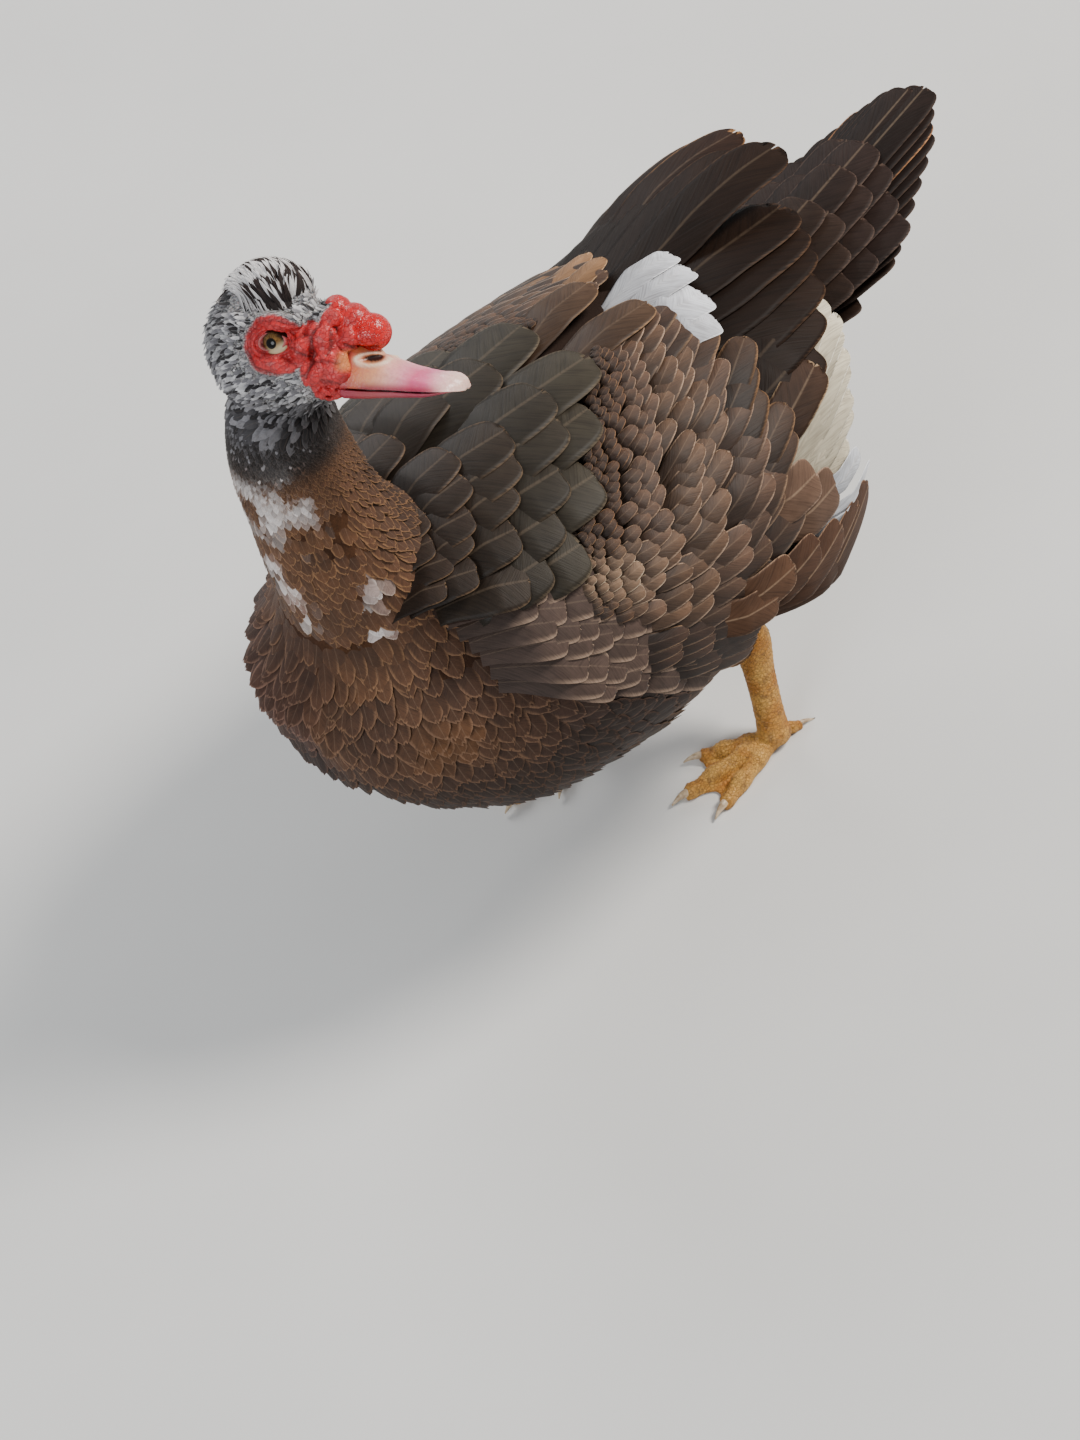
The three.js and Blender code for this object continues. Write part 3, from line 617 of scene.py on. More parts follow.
class Nodes:
    """A short way to write a material's nodes. Scales of noise and cells are counts along one metre."""

    def __init__(self, name):
        self.material = bpy.data.materials.new(name)
        self.material.use_nodes = True
        self.tree = self.material.node_tree
        self.shader = self.tree.nodes["Principled BSDF"]

    def add(self, kind, inputs=None, **settings):
        """A node with its settings, and values or links for its inputs."""
        node = self.tree.nodes.new("ShaderNode" + kind)
        for key, value in settings.items():
            setattr(node, key, value)
        for key, value in (inputs or {}).items():
            self.put(node.inputs[key], value)
        return node

    def put(self, socket, value):
        """Links a socket, or sets its value."""
        if isinstance(value, bpy.types.NodeSocket):
            self.tree.links.new(value, socket)
        elif isinstance(value, (tuple, list, np.ndarray)) and socket.type == "RGBA" and len(value) == 3:
            socket.default_value = (*[float(v) for v in value], 1.0)
        else:
            socket.default_value = value

    def attribute(self, name, output="Fac"):
        return self.add("Attribute", attribute_name=name).outputs[output]

    def math(self, operation, a, b=0.0):
        return self.add("Math", {0: a, 1: b}, operation=operation).outputs[0]

    def plus(self, a, b):
        return self.math("ADD", a, b)

    def minus(self, a, b):
        return self.math("SUBTRACT", a, b)

    def times(self, a, b):
        return self.math("MULTIPLY", a, b)

    def fit(self, value, a, b, c=0.0, d=1.0):
        """The value's way from a to b, eased, as the same way from c to d."""
        inputs = {"Value": value, "From Min": a, "From Max": b, "To Min": c, "To Max": d}
        return self.add("MapRange", inputs, interpolation_type="SMOOTHSTEP").outputs[0]

    def mix(self, factor, a, b, kind="MIX"):
        return self.add("Mix", {0: factor, 6: a, 7: b}, data_type="RGBA", blend_type=kind).outputs[2]

    def tinted(self, base, tint):
        """A colour multiplied by another."""
        return self.mix(1.0, base, tint, "MULTIPLY")

    def split(self, vector):
        return self.add("SeparateXYZ", {0: vector}).outputs

    def join(self, x, y, z):
        return self.add("CombineXYZ", {0: x, 1: y, 2: z}).outputs[0]

    def place(self):
        return self.add("TexCoord").outputs["Object"]

    def noise(self, vector, scale, detail=3.0, rough=0.55):
        inputs = {"Vector": vector, "Scale": scale, "Detail": detail, "Roughness": rough}
        return self.add("TexNoise", inputs).outputs["Fac"]

    def cells(self, vector, scale, feature="F1"):
        """Distance from the middles of random cells, or from the gaps between them."""
        return self.add("TexVoronoi", {"Vector": vector, "Scale": scale}, feature=feature).outputs["Distance"]

    def gaps(self, vector, scale):
        return self.cells(vector, scale, "DISTANCE_TO_EDGE")

    def bump(self, height, millimetres, strength=1.0):
        inputs = {"Height": height, "Distance": millimetres * MM, "Strength": strength}
        return self.add("Bump", inputs).outputs[0]

    def finish(self, **sockets):
        """Sets the shader's sockets by name, and gives the material."""
        for key, value in sockets.items():
            self.put(self.shader.inputs[key.replace("_", " ")], value)
        return self.material


def plumage_material(name, roughness, barb_height, rim_width, sheen, painted_root_shade, gloss):
    """Feather vanes: a body colour and rim colour from attributes, darker towards the root with painted
    shade, as if shaded by the feathers lying over it, and a little lighter towards the tip, with fine
    barbs slanting from the shaft, and the shaft. The attribute place holds v, u and one random
    number for each vane."""
    barb_slant = 0.22
    barb_count = 46.0
    m = Nodes(name)
    across, along, pick = m.split(m.attribute("place", "Vector"))[0:3]
    side = m.math("ABSOLUTE", across)
    slant = m.minus(along, m.times(side, barb_slant))
    barb_place = m.join(m.times(side, 1.1), m.times(slant, barb_count), m.times(pick, 91.0))
    barbs = m.noise(barb_place, 1.0, 3.0, 0.6)
    cloud = m.noise(m.join(m.times(side, 1.4), m.times(along, 5.0), m.times(pick, 57.0)), 1.0, 2.0)
    ink = m.attribute("ink", "Color")
    base = m.mix(m.fit(barbs, 0.3, 0.72), ink, (0.5, 0.5, 0.5), "SOFT_LIGHT")
    base = m.mix(m.fit(cloud, 0.3, 0.75, 0.0, 0.45), base, m.tinted(base, (0.55, 0.52, 0.5)))
    # Painted shade: darker towards the root, as if shaded by the feathers lying over it, and a little lighter
    # towards the tip
    depth = m.fit(m.minus(along, m.times(side, 0.12)), 0.3, 0.82, painted_root_shade, 1.06)
    base = m.tinted(base, m.join(depth, depth, depth))
    loose = m.minus(barbs, 0.5)
    ragged = m.plus(side, m.times(loose, 0.16))
    end = m.plus(along, m.times(loose, 0.05))
    edge = m.math("MAXIMUM", m.fit(ragged, 1.0 - rim_width, 1.0), m.fit(end, 0.93, 0.995))
    edge = m.times(edge, m.fit(along, 0.25, 0.7))
    base = m.mix(edge, base, m.attribute("rim", "Color"))
    shaft = m.times(m.fit(side, 0.075, 0.015), m.attribute("quill"))
    base = m.mix(shaft, base, m.mix(0.55, ink, paint("shaft")))
    shaded = m.mix(m.fit(barbs, 0.25, 0.6), m.tinted(base, (0.62, 0.6, 0.6)), base)
    height = m.plus(m.times(barbs, 0.8), m.times(shaft, 0.9))
    return m.finish(
        Base_Color=shaded,
        Roughness=roughness,
        Specular_IOR_Level=gloss,
        Sheen_Weight=sheen,
        Sheen_Roughness=0.45,
        Normal=m.bump(height, barb_height, 0.9),
    )


def down_material():
    """The skin under the body feathers: the same plumage colours, darker, with fine down."""
    m = Nodes("down")
    fine = m.noise(m.place(), 900.0)
    base = m.tinted(m.attribute("ink", "Color"), (0.6, 0.57, 0.55))
    base = m.mix(m.fit(fine, 0.35, 0.7, 0.0, 0.5), base, m.tinted(base, (0.5, 0.5, 0.5)))
    return m.finish(Base_Color=base, Roughness=0.9, Specular_IOR_Level=0.15, Normal=m.bump(fine, 0.4))


def face_material():
    """Bare head skin: crimson where it is bare, pebbled and creased, with painted shade darkening
    the creases, wet where it swells, grey under the feathers."""
    m = Nodes("bare_face")
    spot = m.place()
    swell = m.attribute("swell")
    blotch = m.noise(spot, 160.0)
    pores = m.cells(spot, 1500.0)
    creases = m.gaps(spot, 420.0)
    red = m.mix(m.fit(blotch, 0.3, 0.72), paint("dark crimson"), paint("crimson"))
    red = m.mix(m.fit(m.noise(spot, 420.0), 0.45, 0.75, 0.0, 0.14), red, paint("dry skin"))
    red = m.mix(m.times(swell, m.fit(blotch, 0.2, 0.6, 0.5, 1.0)), red, paint("swollen skin"))
    # Painted shade: the fine creases between the pebbles and the deep creases are darkened
    red = m.mix(m.fit(creases, 0.06, 0.0, 0.0, 0.45), red, paint("painted shade in fine creases"))
    red = m.mix(m.fit(m.attribute("deep"), 0.2, 1.1, 0.0, 0.7), red, paint("painted shade in deep creases"))
    red = m.mix(m.times(m.attribute("lid"), 0.7), red, paint("lid"))
    red = m.mix(m.attribute("horn"), red, paint("bill root"))
    feathered = m.tinted(m.attribute("ink", "Color"), (0.6, 0.58, 0.56))
    height = m.plus(m.times(pores, 0.35), m.fit(creases, 0.0, 0.1, 0.0, 0.6))
    return m.finish(
        Base_Color=m.mix(m.attribute("bare"), feathered, red),
        Roughness=m.minus(0.52, m.times(swell, 0.3)),
        Specular_IOR_Level=0.5,
        Subsurface_Weight=0.12,
        Subsurface_Radius=(0.004, 0.001, 0.0006),
        Subsurface_Scale=1.0,
        Coat_Weight=0.15,
        Coat_Roughness=0.25,
        Normal=m.bump(height, 0.35),
    )


def bill_material():
    """Horn of the bill: red at its root, pink along it, a magenta band and a pale nail, with faint
    pores."""
    m = Nodes("bill_horn")
    spot = m.place()
    cloud = m.noise(spot, 120.0)
    along = m.plus(m.attribute("along"), m.times(m.minus(cloud, 0.5), 0.16))
    bands = m.add("ValToRGB", {0: along})
    elements = bands.color_ramp.elements
    elements[0].position = BILL_COLOURS[0][0]
    elements[1].position = BILL_COLOURS[-1][0]
    for position, _ in BILL_COLOURS[1:-1]:
        elements.new(position)
    for element, (_, code) in zip(elements, BILL_COLOURS):
        element.color = (*colour(code), 1.0)
    base = m.mix(m.times(m.attribute("low"), 0.9), bands.outputs[0], paint("lower bill"))
    base = m.mix(m.attribute("lip"), base, paint("nostril rim"))
    fine = m.noise(spot, 700.0)
    base = m.mix(m.fit(fine, 0.35, 0.7, 0.0, 0.25), base, paint("bill vein"))
    base = m.mix(m.attribute("hollow"), base, paint("nostril"))
    pores = m.cells(spot, 1300.0)
    return m.finish(
        Base_Color=base,
        Roughness=0.34,
        Specular_IOR_Level=0.5,
        Subsurface_Weight=0.1,
        Subsurface_Radius=(0.004, 0.0015, 0.001),
        Subsurface_Scale=1.0,
        Normal=m.bump(m.plus(m.times(pores, 0.5), fine), 0.12),
    )


def eye_material():
    """The eye: a pupil, a tan iris with fine spokes, paler below with painted light, as if lit from
    above through the cornea, and a dark ring, all under a thin wet coat."""
    m = Nodes("eye")
    radius = m.attribute("radius")
    rays = m.noise(m.join(m.times(m.attribute("spoke"), 26.0), m.times(radius, 3.0), 0.0), 1.0)
    iris = m.mix(m.fit(rays, 0.3, 0.7), paint("dark spoke"), paint("light spoke"))
    iris = m.mix(m.fit(radius, 0.7, 1.0), iris, paint("iris ring"))
    # Painted light: the lower iris is paler, as if lit from above through the cornea
    iris = m.mix(m.fit(m.attribute("low"), 0.0, 0.9, 0.0, 0.8), iris, paint("painted light in the lower iris"))
    base = m.mix(m.fit(radius, 0.48, 0.42), iris, (0.004, 0.004, 0.004))
    wet = {"Coat_Weight": 0.06, "Coat_Roughness": 0.03, "Specular_IOR_Level": 0.18}
    return m.finish(Base_Color=base, Roughness=0.1, **wet)


def leg_material():
    """Leg and web skin: orange-yellow with plates and small round scales, brown in the gaps between
    them."""
    m = Nodes("leg_skin")
    spot = m.place()
    plates = m.gaps(spot, 520.0)
    grains = m.gaps(spot, 950.0)
    cloud = m.noise(spot, 70.0, 4.0)
    base = m.mix(m.fit(cloud, 0.3, 0.7), paint("leg brown"), paint("leg yellow"))
    base = m.mix(m.fit(m.noise(spot, 190.0), 0.52, 0.7, 0.0, 0.55), base, paint("leg stain"))
    web = m.mix(m.fit(cloud, 0.35, 0.65), paint("web brown"), paint("web yellow"))
    base = m.mix(m.attribute("web"), base, web)
    base = m.mix(m.fit(plates, 0.05, 0.0, 0.0, 0.75), base, paint("scale gap"))
    height = m.plus(m.fit(plates, 0.0, 0.14), m.times(m.fit(grains, 0.0, 0.1), 0.5))
    return m.finish(Base_Color=base, Roughness=0.5, Specular_IOR_Level=0.4, Normal=m.bump(height, 0.45))


def claw_material():
    """Horn of the claws: brown, with paler clouds."""
    m = Nodes("claw")
    fine = m.noise(m.place(), 260.0)
    base = m.mix(m.fit(fine, 0.3, 0.7), paint("claw brown"), paint("claw horn"))
    return m.finish(Base_Color=base, Roughness=0.38, Normal=m.bump(fine, 0.15))


# Feathers


def vane_profile(u, root, blunt, tip, point=0.5):
    """Half width along a vane, as a share: root at its base, full by a third, rounded off from
    blunt to the tip; a point above a half draws the end out."""
    swell = root + (1 - root) * ramp(u, 0.0, 0.38)
    t = np.clip((u - blunt) / (1 - blunt), 0, 1)
    return swell * np.clip(1 - (1 - tip ** (1 / point)) * t**1.9, 0, 1) ** point


def closed_sheet(nu, nv):
    """Quads of a sheet of nu by nv points and of its copy below, joined by walls all round."""
    quads = grid_faces(nu, nv)
    n = nu * nv
    rim = np.concatenate([
        np.arange(nv - 1),
        np.arange(nu - 1) * nv + nv - 1,
        n - 1 - np.arange(nv - 1),
        (nu - 1 - np.arange(nu - 1)) * nv,
    ])
    after = np.roll(rim, -1)
    walls = np.stack([after, rim, rim + n, after + n], -1)
    return np.concatenate([quads, quads[:, ::-1] + n, walls])


def vanes(path, normal, width, nv, shape, seed, roll=0.0, camber=0.1, keel=0.0, thick=0.0, fringe=0.0):
    """Feathers on paths. u runs along a path, v from edge to edge: the point is the path at u, plus
    v times the half width across it, minus camber times v squared, plus a keel at the shaft. Each
    column ends a little short of its neighbours by the fringe. With a thickness, a lower face
    closes the vane. Returns points, quads, (v, u) places and the number of points in each vane."""
    keel_width = 0.16
    count, nu, _ = path.shape
    rng = np.random.default_rng(seed)
    t = np.linspace(0, 1, nu)
    v = np.linspace(-1, 1, nv)
    along = unit(np.gradient(path, axis=1))
    side = unit(np.cross(along, normal))
    up = np.cross(side, along)
    angle = (each(roll, count) * RAD)[:, None, None]
    across = side * np.cos(angle) + up * np.sin(angle)
    out = np.cross(across, along)[:, :, None, :]
    half = width[:, None] / 2 * vane_profile(t, *shape)[None, :]
    short = rng.uniform(0, 1, (count, nv)) * fringe
    short[:, 0] = short[:, -1] = fringe * 0.5
    length = np.linalg.norm(path[:, -1] - path[:, 0], axis=-1)[:, None, None]
    back = ramp(t, 0.7, 1.0)[None, :, None] * short[:, None, :] * length
    at = path[:, :, None, :] + v[None, None, :, None] * (half[..., None, None] * across[:, :, None, :])
    at = at - back[..., None] * along[:, :, None, :]
    bow = -camber * half[..., None] * v**2
    ridge = keel * bell(v, 0, keel_width)[None, None, :] * (1 - 0.7 * t)[None, :, None]
    at = at + (bow + ridge)[..., None] * out
    place = np.broadcast_to(np.stack(np.meshgrid(t, v, indexing="ij")[::-1], -1), (count, nu, nv, 2))
    points, places, one = at.reshape(count, -1, 3), place.reshape(count, -1, 2), grid_faces(nu, nv)
    if thick:
        depth = thick * (1 - 0.6 * t)[None, :, None] * (1 - 0.5 * v**2)
        lower = at - depth[..., None] * out
        points = np.concatenate([points, lower.reshape(count, -1, 3)], 1)
        places = np.concatenate([places] * 2, 1)
        one = closed_sheet(nu, nv)
    step = points.shape[1]
    faces = one[None] + (np.arange(count) * step)[:, None, None]
    return points.reshape(-1, 3), [faces.reshape(-1, 4)], places.reshape(-1, 2), step


def atlas(count):
    """Middles of a square of cells on the bake map, one for each feather, and the size of a
    feather's patch."""
    columns = int(math.ceil(math.sqrt(count)))
    cell = np.stack([np.arange(count) % columns, np.arange(count) // columns], -1)
    return (cell + 0.5) / columns, 0.9 / columns


def feather_mesh(name, made, ink, rim, quill, middles, patch=0.003, seed=0):
    """One mesh of made vanes, with each vane's colours, its shaft's strength and its patch on the
    bake map."""
    points, faces, places, step = made
    count = len(points) // step
    pick = np.random.default_rng(seed + 7).uniform(0, 1, count)
    uv = np.repeat(middles, step, axis=0) + patch * np.column_stack([places[:, 0] * 0.5, places[:, 1] - 0.5])
    return build_mesh(name, points, faces, {
        "place": np.column_stack([places, np.repeat(pick, step)]),
        "ink": np.repeat(ink, step, axis=0),
        "rim": np.repeat(rim, step, axis=0),
        "quill": np.repeat(each(quill, count), step),
    }, uv)


def straight_paths(root, direction, normal, length, rise, bend, nu):
    """Short feathers' lines: from the root along the coat's lie, lifted by rise towards the tip and
    bent back."""
    t = np.linspace(0, 1, nu)[None, :, None]
    length, rise, bend = (each(k, len(root))[:, None, None] for k in (length, rise, bend))
    root, direction, normal = (k[:, None] for k in (root, direction, normal))
    path = root + direction * length * t + normal * (rise * t - bend * length * t * t)
    tangent = direction * length + normal * (rise - 2 * bend * length * t)
    return path, laid_on(normal, unit(tangent))


# A spacing so wide that no feather stands there
NOWHERE = 1e6
def scatter(points, tris, normals, radius, seed):
    """Points spread over a skin so that none is nearer another than the radius at its place."""
    density = 2.6
    spare = 1.6
    rng = np.random.default_rng(seed)
    a, b, c = (points[tris[:, k]] for k in range(3))
    area = 0.5 * np.linalg.norm(np.cross(b - a, c - a), axis=1)
    want = area / (radius((a + b + c) / 3) ** 2) * density
    want = np.where(np.isfinite(want), want, 0)
    total = int(want.sum() * spare)
    pick = rng.choice(len(tris), size=total, p=want / want.sum())
    r1, r2 = np.sqrt(rng.uniform(0, 1, total)), rng.uniform(0, 1, total)
    w = np.stack([1 - r1, r1 * (1 - r2), r1 * r2], -1)[..., None]
    at = a[pick] * w[:, 0] + b[pick] * w[:, 1] + c[pick] * w[:, 2]
    na, nb, nc = (normals[tris[pick, k]] for k in range(3))
    n = unit(na * w[:, 0] + nb * w[:, 1] + nc * w[:, 2])
    reach = radius(at)
    within = reach < NOWHERE
    at, n, reach = at[within], n[within], reach[within]
    tree = kdtree.KDTree(len(at))
    for i, p in enumerate(at):
        tree.insert(p, i)
    tree.balance()
    free = np.ones(len(at), bool)
    kept = []
    for i in range(len(at)):
        if free[i]:
            kept.append(i)
            for _, j, _ in tree.find_range(at[i], reach[i]):
                free[j] = False
    return at[kept], n[kept]


# The coat's lie, size and colours


def regions(p):
    """Shares of head and neck at points, the rest being torso; each eased over a few centimetres."""
    local = to_head(p)
    head = ramp(-np.linalg.norm(local - np.array([2, 0, -2]), axis=-1), -44, -34)
    level = p[..., 2] + 0.3 * (-p[..., 1] - 80)
    neck = ramp(level, 226, 274) * ramp(-p[..., 1], 32, 62)
    return head, neck * (1 - head)


NECK_LINE = neck_curve(60)
# From the hip down to the hock
THIGH_WAY = np.array([0.0, 0.7, -0.7])


def coat_lie(p, n):
    """The way feathers point: back along the torso, down the neck and back over the head, laid on
    the skin."""
    head, neck = regions(p)
    nearest = np.argmin(((p[:, None, :] - NECK_LINE[None, :, :3]) ** 2).sum(-1), 1)
    down = -unit(np.gradient(NECK_LINE[:, :3], axis=0))[nearest]
    away = p - NECK_LINE[nearest, :3]
    down_neck = unit(down + 0.25 * unit(away))
    back = np.stack([0.10 * np.sign(p[:, 0]), np.ones(len(p)), 0.18 * ramp(p[:, 1], -100, 60) - 0.18], -1)
    down_breast = np.stack([0.012 * p[:, 0], np.full(len(p), -0.25), -np.ones(len(p))], -1)
    front = (ramp(-p[:, 1], 62, 122) * (1 - ramp(-n[:, 2], 0.35, 0.85)))[:, None]
    back = back * (1 - front) + down_breast * front
    thigh = (ramp(-p[:, 2], -112, -92) * ramp(p[:, 1], 0, 20))[:, None]
    back = back * (1 - thigh) + THIGH_WAY * thigh
    over_head = -HEAD_AXES[0] - 0.35 * HEAD_AXES[2]
    on_torso, on_neck, on_head = (share[:, None] for share in (1 - head - neck, neck, head))
    return laid_on(back * on_torso + down_neck * on_neck + over_head * on_head, n)


# White patches on the front of the neck and breast: middle and radius
WHITE_PATCHES = [
    (7, -151, 280, 11), (1, -148, 300, 8), (12, -151, 262, 7), (43, -124, 280, 8),
    (43, -132, 257, 7),
]


# Shares of the head's feathers that are dark, and that are dark or grey
DARK_FLECKS = 0.24
GREY_FLECKS = 0.6
def pale_share(p, pick, fine):
    """How white the feathers are: round the patches, and in streaks up the front of the neck."""
    pale = np.zeros(len(p))
    for x, y, z, r in WHITE_PATCHES:
        away = np.linalg.norm(p - np.array([x, y, z]), axis=1) / r
        pale = np.maximum(pale, 1.25 * np.exp(-(away**2)))
    streak = ramp(-p[:, 1], 108, 132) * ramp(p[:, 2], 300, 330) * ramp(-p[:, 2], -366, -350)
    pale = np.maximum(pale, streak * (0.42 + 0.45 * fine))
    return ramp(pale + 0.35 * (pick - 0.5) + 0.12 * fine, 0.25, 0.85)


def flecks(pepper, throat, nape):
    """The head's peppered colours: dark, grey and white by a random number, darker on throat and
    nape."""
    dark, grey = (pepper < DARK_FLECKS)[:, None], (pepper < GREY_FLECKS)[:, None]
    fleck = np.where(dark, paint("black fleck"), np.where(grey, paint("grey fleck"), paint("white fleck")))
    fleck = blend(fleck, np.where(grey, paint("throat black"), paint("throat grey")), throat * 0.85)
    return blend(fleck, paint("nape grey"), nape * 0.5)


def coat_colours(p, rng):
    """Body and rim colours of the coat at points in the bird's frame: chestnut mottled breast,
    purple-brown flanks, dark belly with an ochre underside, a pale streaked neck base, a black
    collar and a peppered head. The lower breast on its right side, and the back of the neck above
    the shoulders, are darkened with painted shade."""
    x, y, z = p.T
    head, neck = regions(p)
    count = len(p)
    patch = noise(p, 34, 3)
    fine = noise(p, 11, 4)
    pick = rng.uniform(0, 1, count)
    breast = ramp(-y, 60, 115)
    # Painted shade: the lower breast on the right side takes a darker copy of the breast colours
    shaded = breast * ramp(-x, -26, 4) * ramp(-z, -262, -225)
    flank = ramp(y, -100, -50) * ramp(np.abs(x), 50, 90)
    belly = ramp(-z, -200, -158) * ramp(-y, 0, 50)
    under = ramp(-z, -130, -95) * ramp(y, -80, -30)
    vent = ramp(y, 60, 130)
    ink, rim = (np.broadcast_to(colour(code), (count, 3)) for code in FEATHERS["back"])
    # Kind of feather, and the shares by which it takes over the body colour and the rim colour
    layers = [
        ("breast", breast * (0.25 + 0.6 * ramp(patch, -0.4, 0.6)), breast * 0.9),
        ("shaded breast", shaded * 0.85, shaded * 0.85),
        ("flank", flank, flank),
        ("belly", belly * 0.85, belly * 0.85),
        ("underside", under * 0.8, under * 0.8),
        ("vent", vent * 0.9, vent),
        ("neck", neck * 0.7, neck * 0.8),
    ]
    for kind, body_share, rim_share in layers:
        body, edge = FEATHERS[kind]
        ink = blend(ink, colour(body), body_share)
        rim = blend(rim, colour(edge), rim_share)
    ink = blend(ink, paint("neck mottle"), neck * ramp(patch * 0.5 + fine, 0.1, 0.7) * 0.6)
    pale = pale_share(p, pick, fine) * (neck + breast > 0.3)
    white = np.broadcast_to(paint("white patch"), ink.shape)
    white = blend(white, paint("buff patch"), ramp(-fine, -0.2, 0.5))
    ink = blend(ink, white, 0.85 * pale)
    rim = blend(rim, paint("patch rim"), 0.85 * pale)
    local = to_head(p)
    pepper = rng.uniform(0, 1, count)
    throat = ramp(-local[:, 2], 18, 34)
    fleck = flecks(pepper, throat, ramp(-local[:, 0], 12, 34))
    top = np.clip(head + ramp(z, 346, 358), 0, 1)
    ink = blend(ink, fleck, top)
    rim = blend(rim, blend(fleck, paint("fleck rim"), 0.3 * (1 - throat)), top)
    below_head = np.maximum(1 - head, ramp(-local[:, 2], 24, 34))
    collar = ramp(z, 338, 350) * ramp(-z, -370, -358) * below_head
    body, edge = FEATHERS["collar"]
    ink = blend(ink, colour(body), collar * 0.9 * (pepper < 0.96))
    rim = blend(rim, colour(edge), collar * 0.85)
    # Painted shade: the back of the neck above the shoulders is darkened, as in the shadow between neck and
    # wing
    ink = blend(ink, paint("painted shade behind the neck"), neck * ramp(y, -112, -84) * ramp(z, 262, 300) * 0.7)
    tone = (0.8 + 0.4 * rng.uniform(0, 1, count)) * (1 + 0.14 * patch + 0.1 * fine)
    return np.clip(ink * tone[:, None], 0, 1), np.clip(rim * tone[:, None], 0, 1)


def skin_uv(p):
    """An unwrap of the skin's own shape: height and length along the bird, against the angle round
    it."""
    head, neck = regions(p)
    line = NECK_LINE[::3, :3]
    centre = line[np.argmin(((p[:, None, :] - line[None]) ** 2).sum(-1), 1)]
    turn_neck = np.arctan2(p[:, 0] - centre[:, 0], -(p[:, 1] - centre[:, 1]))
    turn_torso = np.arctan2(p[:, 0], 165 - p[:, 2])
    upper = neck + head > 0.5
    u = np.where(upper, turn_neck, turn_torso) / TAU + 0.5
    v = np.where(upper, 0.62 + 0.36 * (p[:, 2] - 200) / 240, 0.02 + 0.58 * (p[:, 1] + 175) / 400)
    return np.column_stack([0.01 + 0.98 * u, np.clip(v, 0.005, 0.995)])


# The wing's lower edge: y, and degrees from the back
WING_EDGE = np.array([
    (-110, 0), (-100, 24), (-70, 34), (-45, 42), (0, 66), (30, 82), (70, 92), (105, 92),
    (135, 70),
], float)


def wing_cover(p):
    """True where a folded wing hides the torso's skin."""
    wide = 168.0
    y, side = p[:, 1], np.abs(p[:, 0])
    phi = np.degrees(np.arctan2(side, p[:, 2] - wide))
    low = np.interp(y, *WING_EDGE.T)
    _, neck = regions(p)
    return (phi < low) & (y > -106) & (y < 150) & (p[:, 2] < 262) & (neck < 0.2)


def fold_share(neck, strength):
    """The strength halfway between torso and neck, 0 on either, from the neck's share."""
    return strength * 4 * neck * (1 - neck)


def neck_fold(p):
    """1 in the crease where the neck grows out of the torso, in front and at the sides."""
    return np.clip(fold_share(regions(p)[1], 1.6), 0, 1) * ramp(-p[:, 2], -300, -262)


# Share of the way from hip to hock, radius across, radius along
THIGH_ROWS = [(0, 30, 34), (0.4, 27, 31), (0.75, 17, 20), (1.02, 11, 12)]


def shrunk(rows, by):
    """A leg's rows with their radii less by a depth."""
    return [(t, a - by, b - by) for t, a, b in rows]


def body_skin():
    """Torso, neck and thighs fused into one skin, a coat's depth inside the plumage. More relaxing
    fills the crease where the neck meets the body."""
    shells = [capped(torso_rings(-COAT_DEPTH)), capped(neck_rings(-NECK_COAT))]
    for leg in LEGS.values():
        shells.append(capped(leg_rings(leg["hip"], leg["hock"], shrunk(THIGH_ROWS, THIGH_COAT))))
    points, quads = fused("body_skin", shells, 3.2, 14)
    filled = relax(points, quads, 70)
    return points + (filled - points) * neck_fold(points)[:, None], quads


# Points, triangles and normals of the body's skin, for the feathers
SKIN = {}


# Wings and tail

# How much higher each wing's long feathers stand over the rump, in millimetres
RAISE = {1: 0.0, -1: 22.0}
# Where the small wing coverts begin, and where the tips of the greater coverts end: share of the
# way from the back to the flank, y, degrees from the back
COVERT_START = np.array([
    (0, 60, 8), (0.14, 44, 14), (0.36, 4, 26), (0.58, -26, 38), (0.8, -44, 48), (1, -50, 58),
], float)
COVERT_END = np.array([
    (0, 110, 8), (0.2, 117, 32), (0.4, 107, 52), (0.6, 84, 65), (0.8, 58, 76), (1, 34, 88),
], float)


# How far the coverts turn from straight back, in degrees, by the same share
COVERT_TURN = np.array([(0, -12), (0.2, -15), (0.4, -11), (0.6, -4), (0.8, 9), (1, 18)], float)


# Rows of coverts: share of the way from start to end, width, length
COVERT_ROWS = [
    (1.0, 19, 66), (0.84, 16, 56), (0.66, 14.5, 50), (0.5, 12.5, 40), (0.36, 10.5, 30),
    (0.25, 9, 22), (0.16, 7.4, 17), (0.09, 6.2, 13), (0.03, 5.4, 11),
]


# First feathers of the rows at the wing's lower edge: y and degrees of the root, of the tip, width
LOW_COVERTS = [
    (10, 74, 62, 86, 17), (-40, 72, 22, 86, 13), (-44, 74, 26, 90, 13), (-52, 70, 2, 80, 11),
    (-56, 72, 6, 86, 11), (-62, 68, -16, 76, 10),
]


# Outlines of vanes: width at the root, where the end begins to round off, width at the tip, and the
# point
POINTED = (0.5, 0.4, 0.05, 0.66)
VERY_POINTED = (0.5, 0.32, 0.03, 0.78)
LONG_VANE = (0.5, 0.62, 0.12, 0.6)
def raised(side, y, phi):
    """The right wing's long feathers stand higher over the rump than the left wing's, and further
    out."""
    lift = RAISE[side] * ramp(y, 110, 220)
    return np.stack([0.5 * lift * ramp(phi, 0, 40), 0 * lift, 0.8 * lift], -1)


